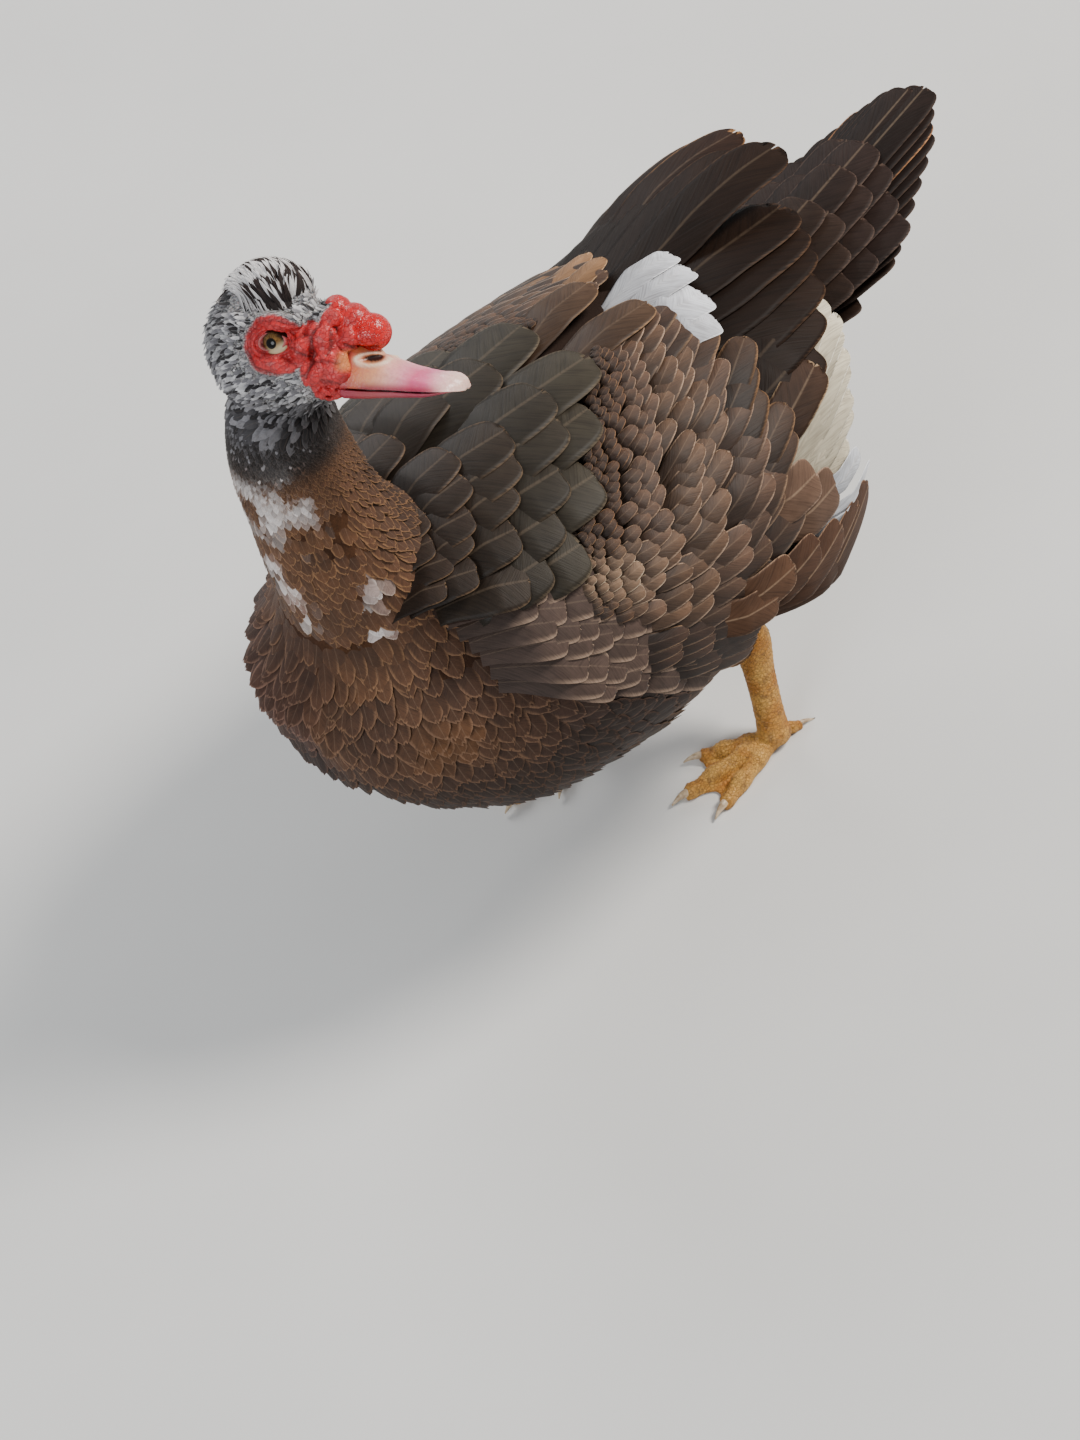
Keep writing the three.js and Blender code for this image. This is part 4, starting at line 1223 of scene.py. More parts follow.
def wing_paths(side, y0, phi0, y1, phi1, sunk, lift, nu):
    """Lines over the folded wing's envelope from roots to tips, sunk at the root and lifted at the
    tip."""
    u = np.sin(np.linspace(0, 1, nu) * np.pi / 2)[None, :]
    y = y0[:, None] + (y1 - y0)[:, None] * u
    phi = phi0[:, None] + (phi1 - phi0)[:, None] * u
    sunk, lift = sunk[:, None], lift[:, None]
    height = -sunk + (lift + sunk) * np.minimum(1, u * 1.7)
    path = body_point(y, phi, height, WING) + raised(side, y, phi)
    normal = unit(body_point(y, phi, height + 1, WING) - body_point(y, phi, height, WING))
    return to_side(path, side), to_side(normal, side)


def tier(count, first, last, bulge, seed, jitter=2.0):
    """A row of feathers between a first and a last one, each y and degrees of the root, of the tip,
    and a width. Its middle bulges back, and each feather is out of place by the jitter."""
    rng = np.random.default_rng(seed)
    t = np.linspace(0, 1, count) if count > 1 else np.zeros(1)
    rows = np.array(first, float)[None] * (1 - t)[:, None] + np.array(last, float)[None] * t[:, None]
    arch = bulge * 4 * t * (1 - t)
    rows[:, 0] += arch
    rows[:, 2] += arch + rng.normal(0, jitter, count)
    rows[:, 3] += rng.normal(0, 0.5 * jitter, count)
    return rows


def shades(code, rng, count, spread):
    """One colour for each feather: the same one, lighter or darker by up to the spread."""
    tone = 1 + spread * rng.uniform(-1, 1, count)
    return np.clip(colour(code)[None] * tone[:, None], 0, 1)


def coloured(rows, kind, rng, body_spread=0.12, rim_spread=0.12, **lie):
    """A tier: its rows, a body and a rim colour for each feather, and how it lies."""
    body, edge = FEATHERS[kind]
    rows = np.array(rows, float)
    ink = shades(body, rng, len(rows), body_spread)
    return dict(rows=rows, ink=ink, rim=shades(edge, rng, len(rows), rim_spread), **lie)


def wing_tiers(side):
    """The long feathers of one wing, tier by tier from the lowest to the uppermost."""
    rng = np.random.default_rng(40 + side)
    tiers = []

    def put(rows, kind, sunk=4.0, lift=2.0, roll=7.0, shape=LONG_VANE, quill=0.6):
        lie = dict(sunk=sunk, lift=lift, roll=roll, shape=shape, quill=quill)
        tiers.append(coloured(rows, kind, rng, rim_spread=0.08, **lie))

    def lay(count, first, last, kind, bulge=0.0, **lie):
        put(tier(count, first, last, bulge, rng.integers(1e6)), kind, **lie)

    put([(78, 86, 150, 105, 12), (72, 88, 138, 105, 12), (80, 80, 137, 88, 12)], "white", lift=11, quill=0.3)
    # The primaries fold over one another, the outermost one longest and lowest.
    outer = [(18, 94, 141, 105, 22), (10, 90, 126, 102, 22), (4, 86, 104, 94, 22), (-4, 82, 82, 88, 22)]
    for k, row in enumerate(outer):
        put([row], "primary", sunk=14, lift=14 - 1.0 * k, roll=9 + 3 * (3 - k), quill=0.35)
    lay(8, (70, 60, 176, 45, 19), (62, 76, 138, 83, 17), "cream", 5, sunk=5, lift=4, roll=6, quill=0.2,
        shape=(0.5, 0.72, 0.3))
    put([(44, 73, 112, 84, 26), (40, 66, 100, 74, 24)], "upper primary", lift=9, quill=0.3)
    inner = [(-12, 78, 58, 84, 21), (-18, 78, 40, 86, 19)]
    for k, row in enumerate(inner):
        put([row], "lower inner", sunk=5, lift=12 + 1.0 * k, roll=9, quill=0.3)
    if side < 0:
        first, last = (72, 7, 240, 8, 37), (66, 56, 106, 60, 30)
        lay(8, first, last, "right inner", 10, sunk=6, lift=5.5, roll=8, quill=0.1)
        lay(3, (88, 26, 240, 34, 32), (84, 46, 222, 52, 30), "right secondary", sunk=6, lift=8, roll=12,
            quill=0.12)
    else:
        first, last, shape = (72, 4, 214, 7, 46), (76, 46, 146, 50, 34), (0.5, 0.55, 0.2)
        lay(6, first, last, "left inner", 8, sunk=6, lift=5.5, roll=8, quill=0.08, shape=shape)
        put([(58, 58, 141, 55, 24)], "left secondary", lift=8, roll=8, quill=0.2)
        snow = [(86, -3, 144, -2, 20), (84, 3, 139, 5, 22), (82, 10, 128, 15, 26), (82, 16, 118, 22, 24)]
        put(snow, "snow", lift=9, roll=5, shape=(0.45, 0.7, 0.55), quill=0.1)
    return tiers


def between(start, end, share, s):
    """Points a share of the way from one line to another, at shares s along both: y and degrees."""
    a, b = (np.stack(stations(line, s), -1) for line in (start, end))
    return a + (b - a) * share


def covert_row(rng, share, width, length):
    """One row of coverts, and how far along it each feather stands. Each points back, turned
    towards the spine on the upper wing and away from it on the lower."""
    s = np.linspace(0, 1, 60)
    tip = between(COVERT_START, COVERT_END, share, s)
    at = body_point(tip[:, 0], tip[:, 1], 0, WING)
    run = np.concatenate([[0], np.cumsum(np.linalg.norm(np.diff(at, axis=0), axis=1))])
    count = max(4, int(run[-1] / (width * 0.66)))
    pick = np.interp((np.arange(count) + rng.uniform(0.1, 0.9)) / count * run[-1], run, s)
    wobble = rng.normal(0, 0.035 * (0.4 + share), count)
    high = between(COVERT_START, COVERT_END, (share + wobble)[:, None], pick)
    turn = (lookup(COVERT_TURN, pick, 1) + rng.normal(0, 4, count)) * RAD
    here, beside = (body_point(high[:, 0], high[:, 1] + k, 0, WING) for k in (0, 1))
    per_degree = np.linalg.norm(beside - here, axis=1)
    long = length * rng.uniform(0.9, 1.1, count)
    low = high - np.stack([long * np.cos(turn), long * np.sin(turn) / per_degree], -1)
    return np.column_stack([low, high, width * rng.uniform(0.88, 1.12, count)]), pick


def covert_tiers(side):
    """Shingled coverts: rows between where the small coverts begin and where the greater coverts
    end, and short rows at the wing's lower edge. Part of the small ones are pale, part of the
    greater ones golden."""
    rng = np.random.default_rng(60 + side)
    tiers = []
    for k, (share, width, length) in enumerate(COVERT_ROWS):
        rows, pick = covert_row(rng, share, width, length)
        greater = share > 0.9
        shape = POINTED if greater else VERY_POINTED
        lie = dict(sunk=2.5, lift=8.0 + 1.6 * (1 - share), roll=9.0, quill=0.12, shape=shape)
        row = coloured(rows, f"covert {k + 1}", rng, 0.22, 0.14, **lie)
        pale = bell(pick, 0.82, 0.1) * ramp(-share, -0.5, -0.2)
        gold = bell(pick, 0.3, 0.16) * greater
        for key, pale_code, gold_code, strength in zip(("ink", "rim"), FEATHERS["pale covert"],
                                                       FEATHERS["golden covert"], (0.75, 0.8)):
            paler = blend(row[key], colour(pale_code), 0.75 * pale)
            row[key] = blend(paler, colour(gold_code), strength * gold)
        tiers.append(row)
    lie = dict(sunk=3.0, lift=8.5, roll=7.0, shape=POINTED, quill=0.1)
    for k, first in enumerate(LOW_COVERTS):
        last = np.add(first, (0, 6, -6, 4, 0))
        rows = tier(3, first, last, 0, 600 + k, 1.5)
        tiers.append(coloured(rows, "low covert", rng, 0.2, **lie))
    return tiers


def scapular_tiers(side):
    """Broad shoulder feathers over the coverts' start, olive-brown with paler rims, and smaller ones
    to the neck."""
    rng = np.random.default_rng(80 + side)
    plan = [
        (1, (24, 5, 104, 8, 27), (24, 5, 104, 8, 27), "middle shoulder", 11.0),
        (4, (-34, 6, 52, 9, 42), (-78, 40, -36, 42, 34), "shoulder 1", 11.0),
        (5, (-58, 6, 22, 9, 42), (-92, 38, -52, 42, 32), "shoulder 2", 12.5),
        (5, (-80, 6, -10, 9, 36), (-104, 32, -68, 38, 28), "shoulder 3", 13.5),
        (5, (-98, 6, -42, 8, 30), (-112, 26, -84, 32, 22), "shoulder 4", 14.0),
        (5, (-112, 6, -70, 8, 24), (-120, 24, -96, 30, 18), "shoulder 5", 13.5),
    ]
    if side < 0:
        plan.insert(0, (4, (56, 6, 130, 20, 16), (46, 24, 108, 46, 16), "tan shoulder", 9.0))
    lie = dict(sunk=1.0, roll=5.0, shape=(0.6, 0.42, 0.1, 0.56), quill=0.1)
    tiers = []
    for count, first, last, kind, lift in plan:
        rows = tier(count, first, last, 3.0, rng.integers(1e6), 3.2)
        tiers.append(coloured(rows, kind, rng, lift=lift, **lie))
    return tiers


def side_tiers(side):
    """Soft purple-brown feathers of the flank, turned up over the wing's lower edge in short
    overlapping rows."""
    rng = np.random.default_rng(85 + side)
    lie = dict(sunk=12.0, roll=1.5, shape=(0.6, 0.42, 0.35), quill=0.1)
    tiers = []
    for k in range(7):
        y, phi = -22 - 9.5 * k, 67 - 3.0 * k
        first = (y - 24, phi - 26, y + 5, phi - 20, 20)
        last = (y - 22, phi + 12, y + 8, phi + 24, 17)
        rows = tier(8, first, last, 2, 700 + k, 2.5)
        tiers.append(coloured(rows, "side", rng, 0.16, 0.1, lift=6.0 + 0.55 * k, **lie))
    return tiers


# The wing bed's lower edge: y, and degrees from the back
BED_EDGE = np.array([
    (-112, 20), (-100, 40), (-70, 50), (-45, 58), (0, 82), (30, 94), (70, 98), (105, 92),
    (120, 80),
], float)


def lay_feathers(name, side, tiers, nu, nv, thick, keel, seed, camber):
    """One mesh of a wing's tiers, each vane on its line over the wing's envelope."""
    rows = np.concatenate([t["rows"] for t in tiers])
    counts = [len(t["rows"]) for t in tiers]
    sunk, lift, quill = (
        np.concatenate([each(t[key], n) for t, n in zip(tiers, counts)]) for key in ("sunk", "lift", "quill")
    )
    path, normal = wing_paths(side, *rows[:, :4].T, sunk, lift, nu)
    points, faces, places, offset, at = [], [], [], 0, 0
    for t, n in zip(tiers, counts):
        pick = slice(at, at + n)
        at += n
        made, quads, place, step = vanes(
            path[pick], normal[pick], rows[pick, 4], nv, t["shape"], seed + at,
            roll=side * t["roll"], camber=camber, keel=keel, thick=thick, fringe=0.035,
        )
        points.append(made)
        faces.append(quads[0] + offset)
        places.append(place)
        offset += len(made)
    made = (np.concatenate(points), [np.concatenate(faces)], np.concatenate(places), step)
    ink, rim = (np.concatenate([t[key] for t in tiers]) for key in ("ink", "rim"))
    return feather_mesh(name, made, ink, rim, quill, *atlas(at), seed)


def wing_bed(side):
    """The wing's body under its feathers: a sheet between torso and envelope, closed to itself at
    its edges."""
    y = np.linspace(-108, 126, 40)
    low = np.interp(y, *BED_EDGE.T)[:, None]
    phi = 0.5 + (low - 0.5) * np.linspace(0, 1, 30)[None, :]
    y = y[:, None] + 0 * phi
    shell = body_point(y, phi, -1.0, WING) + raised(side, y, phi)
    under = body_point(y, phi, -3.0, TORSO)
    edge = np.ones(phi.shape)
    edge[[0, -1], :] = 0
    edge[:, -1] = 0
    top = under + (shell - under) * (0.15 + 0.85 * edge)[..., None]
    return capped(to_side(np.concatenate([top, under[:, ::-1]], 1), side))


# The tail's feathers fall away from the middle one by this much for each millimetre.
TAIL_DROP = 0.1
TAIL_PAIRS = 9
# Coverts over the tail, from the lowest tier up: y of the tips, height, width
TAIL_COVERTS = [(294, 3.5, 32), (270, 6.0, 33), (246, 8.5, 34), (222, 11.0, 34), (200, 13.5, 34)]


# Coverts under the tail: y of the tips, height
UNDER_COVERTS = [(292, -16), (262, -20)]
# Two feathers whose rims are worn pale, by their number from the outermost pair
WORN = (4, 7)
# The tail's stump: y, middle z, half width, half height
STUMP = np.array([
    (176, 190, 38, 19), (196, 197, 40, 14), (216, 203, 38, 9), (236, 208, 32, 5),
    (250, 211, 20, 2),
], float)


def tail_paths(x0, y0, x1, y1, z, nu):
    """Lines on the tail's wedge: rising to the rear, and falling away from the middle feather."""
    u = np.sin(np.linspace(0, 1, nu) * np.pi / 2)[None, :]
    x = x0[:, None] + (x1 - x0)[:, None] * u
    y = y0[:, None] + (y1 - y0)[:, None] * u
    height = TAIL_Z + z[:, None] + TAIL_RISE * (y - TAIL_Y) - TAIL_DROP * np.abs(x)
    normal = unit(np.stack([TAIL_DROP * np.sign(x), -TAIL_RISE + 0 * x, 1 + 0 * x], -1))
    return np.stack([TAIL_X + x, y, height], -1), normal


def tail_rows(rng):
    """Rows of the tail's feathers: root x and y, tip x and y, height, width, roll; and each one's
    kind."""
    rows, kinds = [], []
    for i in range(TAIL_PAIRS):
        t = i / (TAIL_PAIRS - 1)
        for side in (1, -1):
            tip = 341 - 82 * t**1.4 + rng.normal(0, 2)
            rows.append((side * (3 + 24 * t), 206, side * (4 + 37 * t), tip, 1 - 1.5 * i, 27, side * 5))
            kinds.append("worn tail" if len(kinds) in WORN else "tail")
    for k, (reach, z, width) in enumerate(TAIL_COVERTS):
        for i in range(-3, 4):
            t = i / 3
            tip = reach - 26 * t * t + rng.normal(0, 3)
            rows.append((30 * t, min(172, reach - 52), 41 * t, tip, z - 1.9 * abs(i), width, 4 * np.sign(i)))
            kinds.append(f"tail covert {k + 1}")
    for reach, z in UNDER_COVERTS:
        for i in range(-3, 4):
            t = i / 3
            rows.append((24 * t, 190, 38 * t, reach - 34 * t * t, z - 1.2 * abs(i), 28, 0))
            kinds.append("under the tail")
    return np.array(rows, float), kinds


def tail_feathers():
    """Graduated tail feathers from the middle pair out, five tiers of coverts over them and two
    below."""
    rng = np.random.default_rng(90)
    rows, kinds = tail_rows(rng)
    path, normal = tail_paths(*rows[:, :5].T, 20)
    under = np.array([kind == "under the tail" for kind in kinds])
    normal[under] *= -1
    made = vanes(
        path, normal, rows[:, 5], 11, (0.55, 0.6, 0.2), 91,
        roll=rows[:, 6], camber=0.08, keel=0.5, thick=0.7, fringe=0.025,
    )
    ink, rim = (np.array([colour(FEATHERS[kind][k]) for kind in kinds]) for k in (0, 1))
    ink = ink * rng.uniform(0.85, 1.15, len(rows))[:, None]
    return feather_mesh("tail_feathers", made, ink, rim, 0.22, *atlas(len(rows)), 92)


def tail_stump():
    """The fleshy root of the tail: flattening rings from the rump to under the coverts."""
    y = np.linspace(176, 246, 24)
    mid, half, rise = (k[:, None] for k in stations(STUMP, y))
    a = circle(40)
    rings = [TAIL_X * 0.6 + half * np.cos(a), y[:, None] + 0 * a, mid + rise * np.sin(a)]
    return capped(np.stack(rings, -1))


# Head

# The knob over the bill: middle and radii in the head's frame
KNOB_AT = np.array((44, 0, 6.6), float)
KNOB_RADII = np.array((9.5, 9, 8.8), float)
# Bulbs behind the knob, and on each side of the face: middle, radii
MIDDLE_BULBS = [(35.5, 0, 12.5, 7.5, 8, 6.5), (27, 0, 17, 6, 7, 5)]
SIDE_BULBS = [
    (36, 7, 4, 6, 5, 6), (27, 9, 12, 6.5, 5, 5), (25, 13, 5, 8, 5, 7), (31, 11, -9, 8, 5, 8),
    (19, 15.5, -12, 9, 4.5, 6), (5, 16, 11, 12.5, 5, 4.2), (3, 16.4, -9, 13.5, 5, 5),
    (17, 15.4, 0, 5.5, 4.5, 7),
]
# Half width and half height of the opening between the lids
EYE_OPENING = (4.9, 3.2)
# Creases of the bare skin on one side, as lines of x and z in the head's frame, with a depth each; the depth
# also darkens the skin there with painted shade.
CREASES = [
    (1.1, [(25, 11), (22, 6), (22.5, 0), (22.5, -6), (20, -13)]),
    (0.8, [(22.5, -6), (28, -5), (34, -6)]),
    (0.9, [(11.5, 0.5), (16, -1), (22, -4)]),
    (0.8, [(12, 3), (17, 6), (22, 6)]),
    (1.0, [(-9, -4), (-4, -10), (4, -13.2), (12, -13.4), (20, -12)]),
    (0.7, [(-8, 5), (-2, 11), (6, 12.2), (15, 10.4)]),
    (1.0, [(31, 9), (31.5, 3), (30, -2)]),
    (1.3, [(36, 2), (42, -0.5), (49, 0.5)]),
    (0.8, [(27, -14), (33, -15), (36, -18)]),
]


# The folds round the eye: distance from its middle as a share of the opening, width, height in
# millimetres
LID_FOLDS = [
    (1.22, 0.17, 1.7), (1.62, 0.14, -0.8), (1.95, 0.22, 0.7), (2.35, 0.12, -0.45),
    (2.6, 0.15, 0.3),
]


def crease_depth(x, z):
    """How deep the skin is drawn in at x, z: each line's depth, falling off smoothly over a
    millimetre."""
    total = np.zeros(x.shape)
    for depth, line in CREASES:
        nearest = np.full(x.shape, 1e9)
        for (x0, z0), (x1, z1) in zip(line[:-1], line[1:]):
            run = (x1 - x0) ** 2 + (z1 - z0) ** 2
            t = np.clip(((x - x0) * (x1 - x0) + (z - z0) * (z1 - z0)) / run, 0, 1)
            nearest = np.minimum(nearest, np.hypot(x - x0 - t * (x1 - x0), z - z0 - t * (z1 - z0)))
        total = np.maximum(total, depth * bell(nearest, 0, 1.25))
    return total


def bare_share(p):
    """1 on the bare skin in the head's frame: an oval round each eye, joined to everything before
    the cheek."""
    x, z = p[..., 0], p[..., 2]
    oval = 1 - np.hypot((x - 5) / 15.6, (z - 0.3) / 14.2)
    ceiling = 11.6 + 2.6 * np.maximum(x - 24, 0)
    rear = 17.5 + 0.36 * np.maximum(-13 - z, 0)
    front = np.minimum((x - rear) / 5, np.minimum(ceiling - z, z + 27) / 7)
    side = np.abs(p[..., 1]) > 6
    oval = np.where(side, oval, -1)
    top = (x - 23) / 8
    front = np.where(side, front, np.minimum(top, (z + 27) / 7))
    wander = 0.05 * noise(p, 3.5, 9) + 0.04 * noise(p, 1.6, 10)
    return ramp(np.maximum(oval, front) + wander, -0.03, 0.07)


def skull_rings(grow=0.0, rows=70, sides=72):
    """The skull's sections from the back of the head to the bill, grown by a depth."""
    x = eased(SKULL[0, 0], SKULL[-1, 0], rows)
    angle = circle(sides, 360)
    return skull_point(x[:, None] + 0 * angle, angle[None] + 0 * x[:, None], grow)


def mound_point(back, left, lift=0.0):
    """A point of the crest's mound, its angles counted from the top: back along the head, and to
    the left."""
    a, b = np.asarray(back) * RAD, np.asarray(left) * RAD
    way = unit(np.stack([-np.sin(a), np.sin(b), np.cos(a) * np.cos(b)], -1))
    return CREST_AT + way * (CREST_RADII - 1.5 + np.asarray(lift)[..., None])


def face_shells(rng):
    """Skull, knob, crest mound, bulbs and many small warts, in the head's frame."""
    shells = [capped(skull_rings(-0.6)), capped(ellipsoid(KNOB_AT, KNOB_RADII))]
    shells.append(capped(ellipsoid(CREST_AT, CREST_RADII - 2)))
    for b in MIDDLE_BULBS:
        shells.append(capped(ellipsoid(b[:3], b[3:])))
    for x, y, z, *radii in SIDE_BULBS:
        for side in (1, -1):
            wander = rng.normal(0, 0.4, 3)
            shells.append(capped(ellipsoid(np.array((x, side * y, z)) + wander, radii)))
    for _ in range(240):
        x = rng.uniform(21, 36)
        angle = rng.uniform(15, 152) * rng.choice([-1, 1])
        at = skull_point(np.array(x), np.array(angle), 2.2 - 0.3 * abs(x - 28))
        if bare_share(at) >= 0.8:
            r = rng.uniform(0.9, 2.2)
            shells.append(capped(ellipsoid(at, (r * 1.1, r, r), 8, 12)))
    return shells


def face_skin():
    """Skull and caruncles fused, then given lids, eye openings and wrinkles: each point moves along
    its normal by the folds round the eye, by noise on the bare skin and by the creases. Returns the
    points, their faces, their places in the head's frame and the shares for the material."""
    shells = [(from_head(points), faces) for points, faces in face_shells(np.random.default_rng(31))]
    points, quads = fused("face", shells, 0.7, 3)
    n = point_normals(points, halved(quads)) @ HEAD_AXES.T
    p = to_head(points)
    bare = bare_share(p)
    side = np.sign(p[:, 1])
    x, z = p[:, 0] - EYE_X + 0.7, p[:, 2] - EYE_Z - 0.3
    wide, high = EYE_OPENING
    e = np.hypot(x / wide, (z + 0.04 * x * x / wide - 0.1 * x) / high)
    near = (np.abs(p[:, 1]) > 9) & (np.abs(n[:, 1]) > 0.2)
    folds = sum(height * bell(e, at, width) for at, width, height in LID_FOLDS)
    p = p + n * (folds * near * (e < 3.2))[:, None]
    deep = crease_depth(p[:, 0], p[:, 2]) * (np.abs(n[:, 1]) > 0.15)
    deep = deep * ramp(np.abs(p[:, 1]), 2, 5) * ramp(bare, 0.2, 0.8)
    knob = -np.linalg.norm((p - KNOB_AT) / KNOB_RADII, axis=1)
    behind_knob = -np.linalg.norm((p - np.array((33, 0, 14))) / 8, axis=1)
    swell = np.maximum(ramp(knob, -1.3, -1.02), 0.6 * ramp(behind_knob, -1.3, -1.0))
    upright = noise(p * np.array([0.6, 1, 1.5]), 1.05, 3)
    wrinkle = 0.42 * noise(p, 3.6, 1) + 0.34 * noise(p, 1.9, 2) + 0.22 * upright
    p = p + n * ((wrinkle * bare * (1 - 0.9 * swell) * ramp(e, 1.4, 2.2)) - deep)[:, None]
    hole = near & (e < 1.05)
    dome = EYE_R**2 - (p[:, 0] - EYE_X) ** 2 - (p[:, 2] - EYE_Z) ** 2
    inside = EYE_SIDE + np.sqrt(np.maximum(dome, 1)) - 1.5
    p[hole, 1] = (side * inside)[hole]
    horn = ramp(p[:, 0], 31, 37) * ramp(-np.abs(p[:, 2] + 5), -6, -2) * (1 - swell)
    lid = bell(e, *LID_FOLDS[0][:2]) * near
    return from_head(p), quads, p, {"bare": bare, "swell": swell, "horn": horn, "deep": deep, "lid": lid}


def under_crest(p):
    """Where the crest's own feathers cover the crown, in the head's frame."""
    reach = np.hypot((p[..., 0] + 6) / 21, (p[..., 2] - 19) / 21)
    return (reach < 1) & (p[..., 2] > 12.5) & (p[..., 0] > -20)


def head_gap(p):
    """The spacing of the small head feathers, with none on bare skin."""
    return np.where(bare_share(to_head(p)) > 0.5, NOWHERE, 1.12)


def head_uv(p):
    """An unwrap of the head in its own frame: the angle round it, against the length."""
    return np.column_stack([np.arctan2(p[:, 1], p[:, 2]) / TAU + 0.5, (p[:, 0] + 40) / 100])


def outside_skull(p, lift):
    """Points of the head's frame drawn out sideways until they clear the skull by the lift."""
    top, bottom, half = stations(SKULL, p[..., 0])
    level = (p[..., 2] - (top + bottom) / 2) / ((top - bottom) / 2)
    wide = half * np.sqrt(np.clip(1 - level**2, 0, 1)) + lift
    wide = np.where(np.abs(level) < 1, wide, 0)
    q = p.copy()
    q[..., 1] = np.sign(p[..., 1]) * np.maximum(np.abs(p[..., 1]), wide)
    return q


def head_flow(p, n):
    """The way the small head feathers point: back, and down where they are low or at the nape."""
    low = ramp(-p[:, 2], -4, 12)[:, None]
    nape = ramp(-p[:, 0], 14, 32)[:, None]
    down = np.array([0, 0, -0.45]) * low
    return laid_on(np.array([-1.0, 0, 0]) + down + np.array([0, 0, -0.9]) * nape, n)


# Bill


# Length of the bill along x, where the rings start inside the face, and the nostril's middle
BILL_ROOT, BILL_TIP = 36.0, 91.0
NOSTRIL = (47.5, -4.2)


BILL_START = 33
# The power that squares the bill's section
BILL_SQUARE = 0.85
def slowing(first, middle, last, steps, end_steps):
    """Stations along the bill: evenly to the middle, then closer and closer together to the last."""
    end = np.sin(np.linspace(0, 1, end_steps)[1:] * np.pi / 2)
    return np.concatenate([np.linspace(first, middle, steps), middle + (last - middle) * end])


def bill_upper():
    """Stations of a low arch over a flat edge, with nostrils pressed in, a raised nail and a rolled
    rim."""
    x = slowing(BILL_START, BILL_TIP - 14, BILL_TIP, 64, 34)
    top, edge, half = (k[:, None] for k in stations(BILL, np.maximum(x, BILL_ROOT)))
    x = x[:, None]
    a = circle(96)
    s, c = np.sin(a)[None], np.cos(a)[None]
    y = half * np.sign(c) * np.abs(c) ** BILL_SQUARE
    floor = edge + 0.9 * s + 0.9 * (1 - np.abs(c)) * (s < 0)
    z = np.where(s > 0, edge + (top - edge) * np.abs(s) ** 1.05, floor)
    p = np.stack([x + 0 * y, y, z], -1)
    upper = (s > 0) & (np.abs(y) > 1)
    rim = bell(np.abs(s), 0, 0.16)
    groove = bell(s, 0.42, 0.13) * ramp(x, 44, 60) * ramp(-x, -86, -70)
    p[..., 1] += np.sign(y) * (0.6 * rim * ramp(x, 44, 60) - 0.4 * groove)
    rise = z - NOSTRIL[1]
    d = np.hypot((p[..., 0] - NOSTRIL[0] - 0.5 * rise) / 5.0, rise / 1.8)
    hole = ramp(-d, -1.05, -0.6) * upper
    lip = bell(d, 1.4, 0.3) * upper
    p[..., 1] += np.sign(y) * (-2.8 * hole + 0.7 * lip)
    p[..., 2] += 0.45 * lip
    nail = np.hypot((p[..., 0] - 85) / 7.0, y / 6.4)
    p[..., 2] += 0.9 * ramp(-nail, -1.05, -0.8) * (s > 0)
    fine = 0.16 * noise(p, 4.0, 5) + 0.07 * noise(p, 1.5, 6)
    p[..., 2] += fine * (s > 0)
    along = np.clip((p[..., 0] - BILL_ROOT) / (BILL_TIP - BILL_ROOT), 0, 1)
    low = ramp(-(p[..., 2] - edge), -4.2, -0.2) * ramp(x, 37, 46) * ramp(-x, -88, -76)
    return p, {"along": along, "low": low, "hollow": hole, "lip": lip}


def bill_lower():
    """A shallow tray under the upper bill, a mouth's gap below its edge, rounded off at its tip."""
    last = BILL_TIP - 18
    x = slowing(BILL_START, last, last + 11, 50, 26)
    _, edge, half = stations(BILL, np.maximum(x, BILL_ROOT))
    taper = np.sqrt(np.clip(1 - np.clip((x - last) / 11.3, 0, 1) ** 2.4, 0.02, 1))
    depth = np.interp(x, [BILL_START, 55, last, last + 11], [5.8, 4.4, 3.4, 1.2])
    a = circle(48)
    s, c = np.sin(a)[None], np.cos(a)[None]
    ceiling = (edge - 1.25)[:, None]
    y = (half * 0.92 * taper)[:, None] * np.sign(c) * np.abs(c) ** BILL_SQUARE
    z = np.where(s > 0, ceiling - 0.1 + 0.1 * s, ceiling + depth[:, None] * s)
    p = np.stack([x[:, None] + 0 * y, y, z], -1)
    p[..., 2] += 0.1 * noise(p, 3.0, 7)
    along = np.clip((x - BILL_ROOT) / (BILL_TIP - BILL_ROOT), 0, 1)[:, None] + 0 * y
    return p, {"along": along, "low": 1 + 0 * along, "hollow": 0 * along, "lip": 0 * along}


# Legs

# Front toes: splay from the foot's heading in degrees, length, half width
TOES = [(0, 62, 6.0), (23, 55, 5.6), (-24, 44, 5.4)]
# The hind toe: splay, length, half width, height of its root and tilt in degrees
HIND_TOE = (176, 17, 4, 2.6, -12)
CLAW = 9
# Share of the way from hock to ankle, radius across, radius along
SHANK_ROWS = [(-0.14, 7, 8), (0, 9.6, 11), (0.35, 8, 9), (0.75, 8, 8.6), (1, 9, 9.5)]


def toe_rings(length, half, sides=22):
    """A toe along x: knuckles swell it three times, its sole is flat on the floor."""
    x = np.linspace(-5, length, 46)
    t = x / length
    knuckles = 0.1 * np.cos((t - 0.34) * 2 * np.pi * 3.1) * (t > 0.12)
    r = (half * (0.93 + knuckles - 0.16 * ramp(t, 0.5, 1) - 0.42 * ramp(t, 0.93, 1.0)))[:, None]
    a = circle(sides)
    y = r * np.cos(a)
    z = np.maximum(0.0, 0.72 * r + r * np.sin(a) * 1.05)
    return np.stack([x[:, None] + 0 * y, y, z], -1)


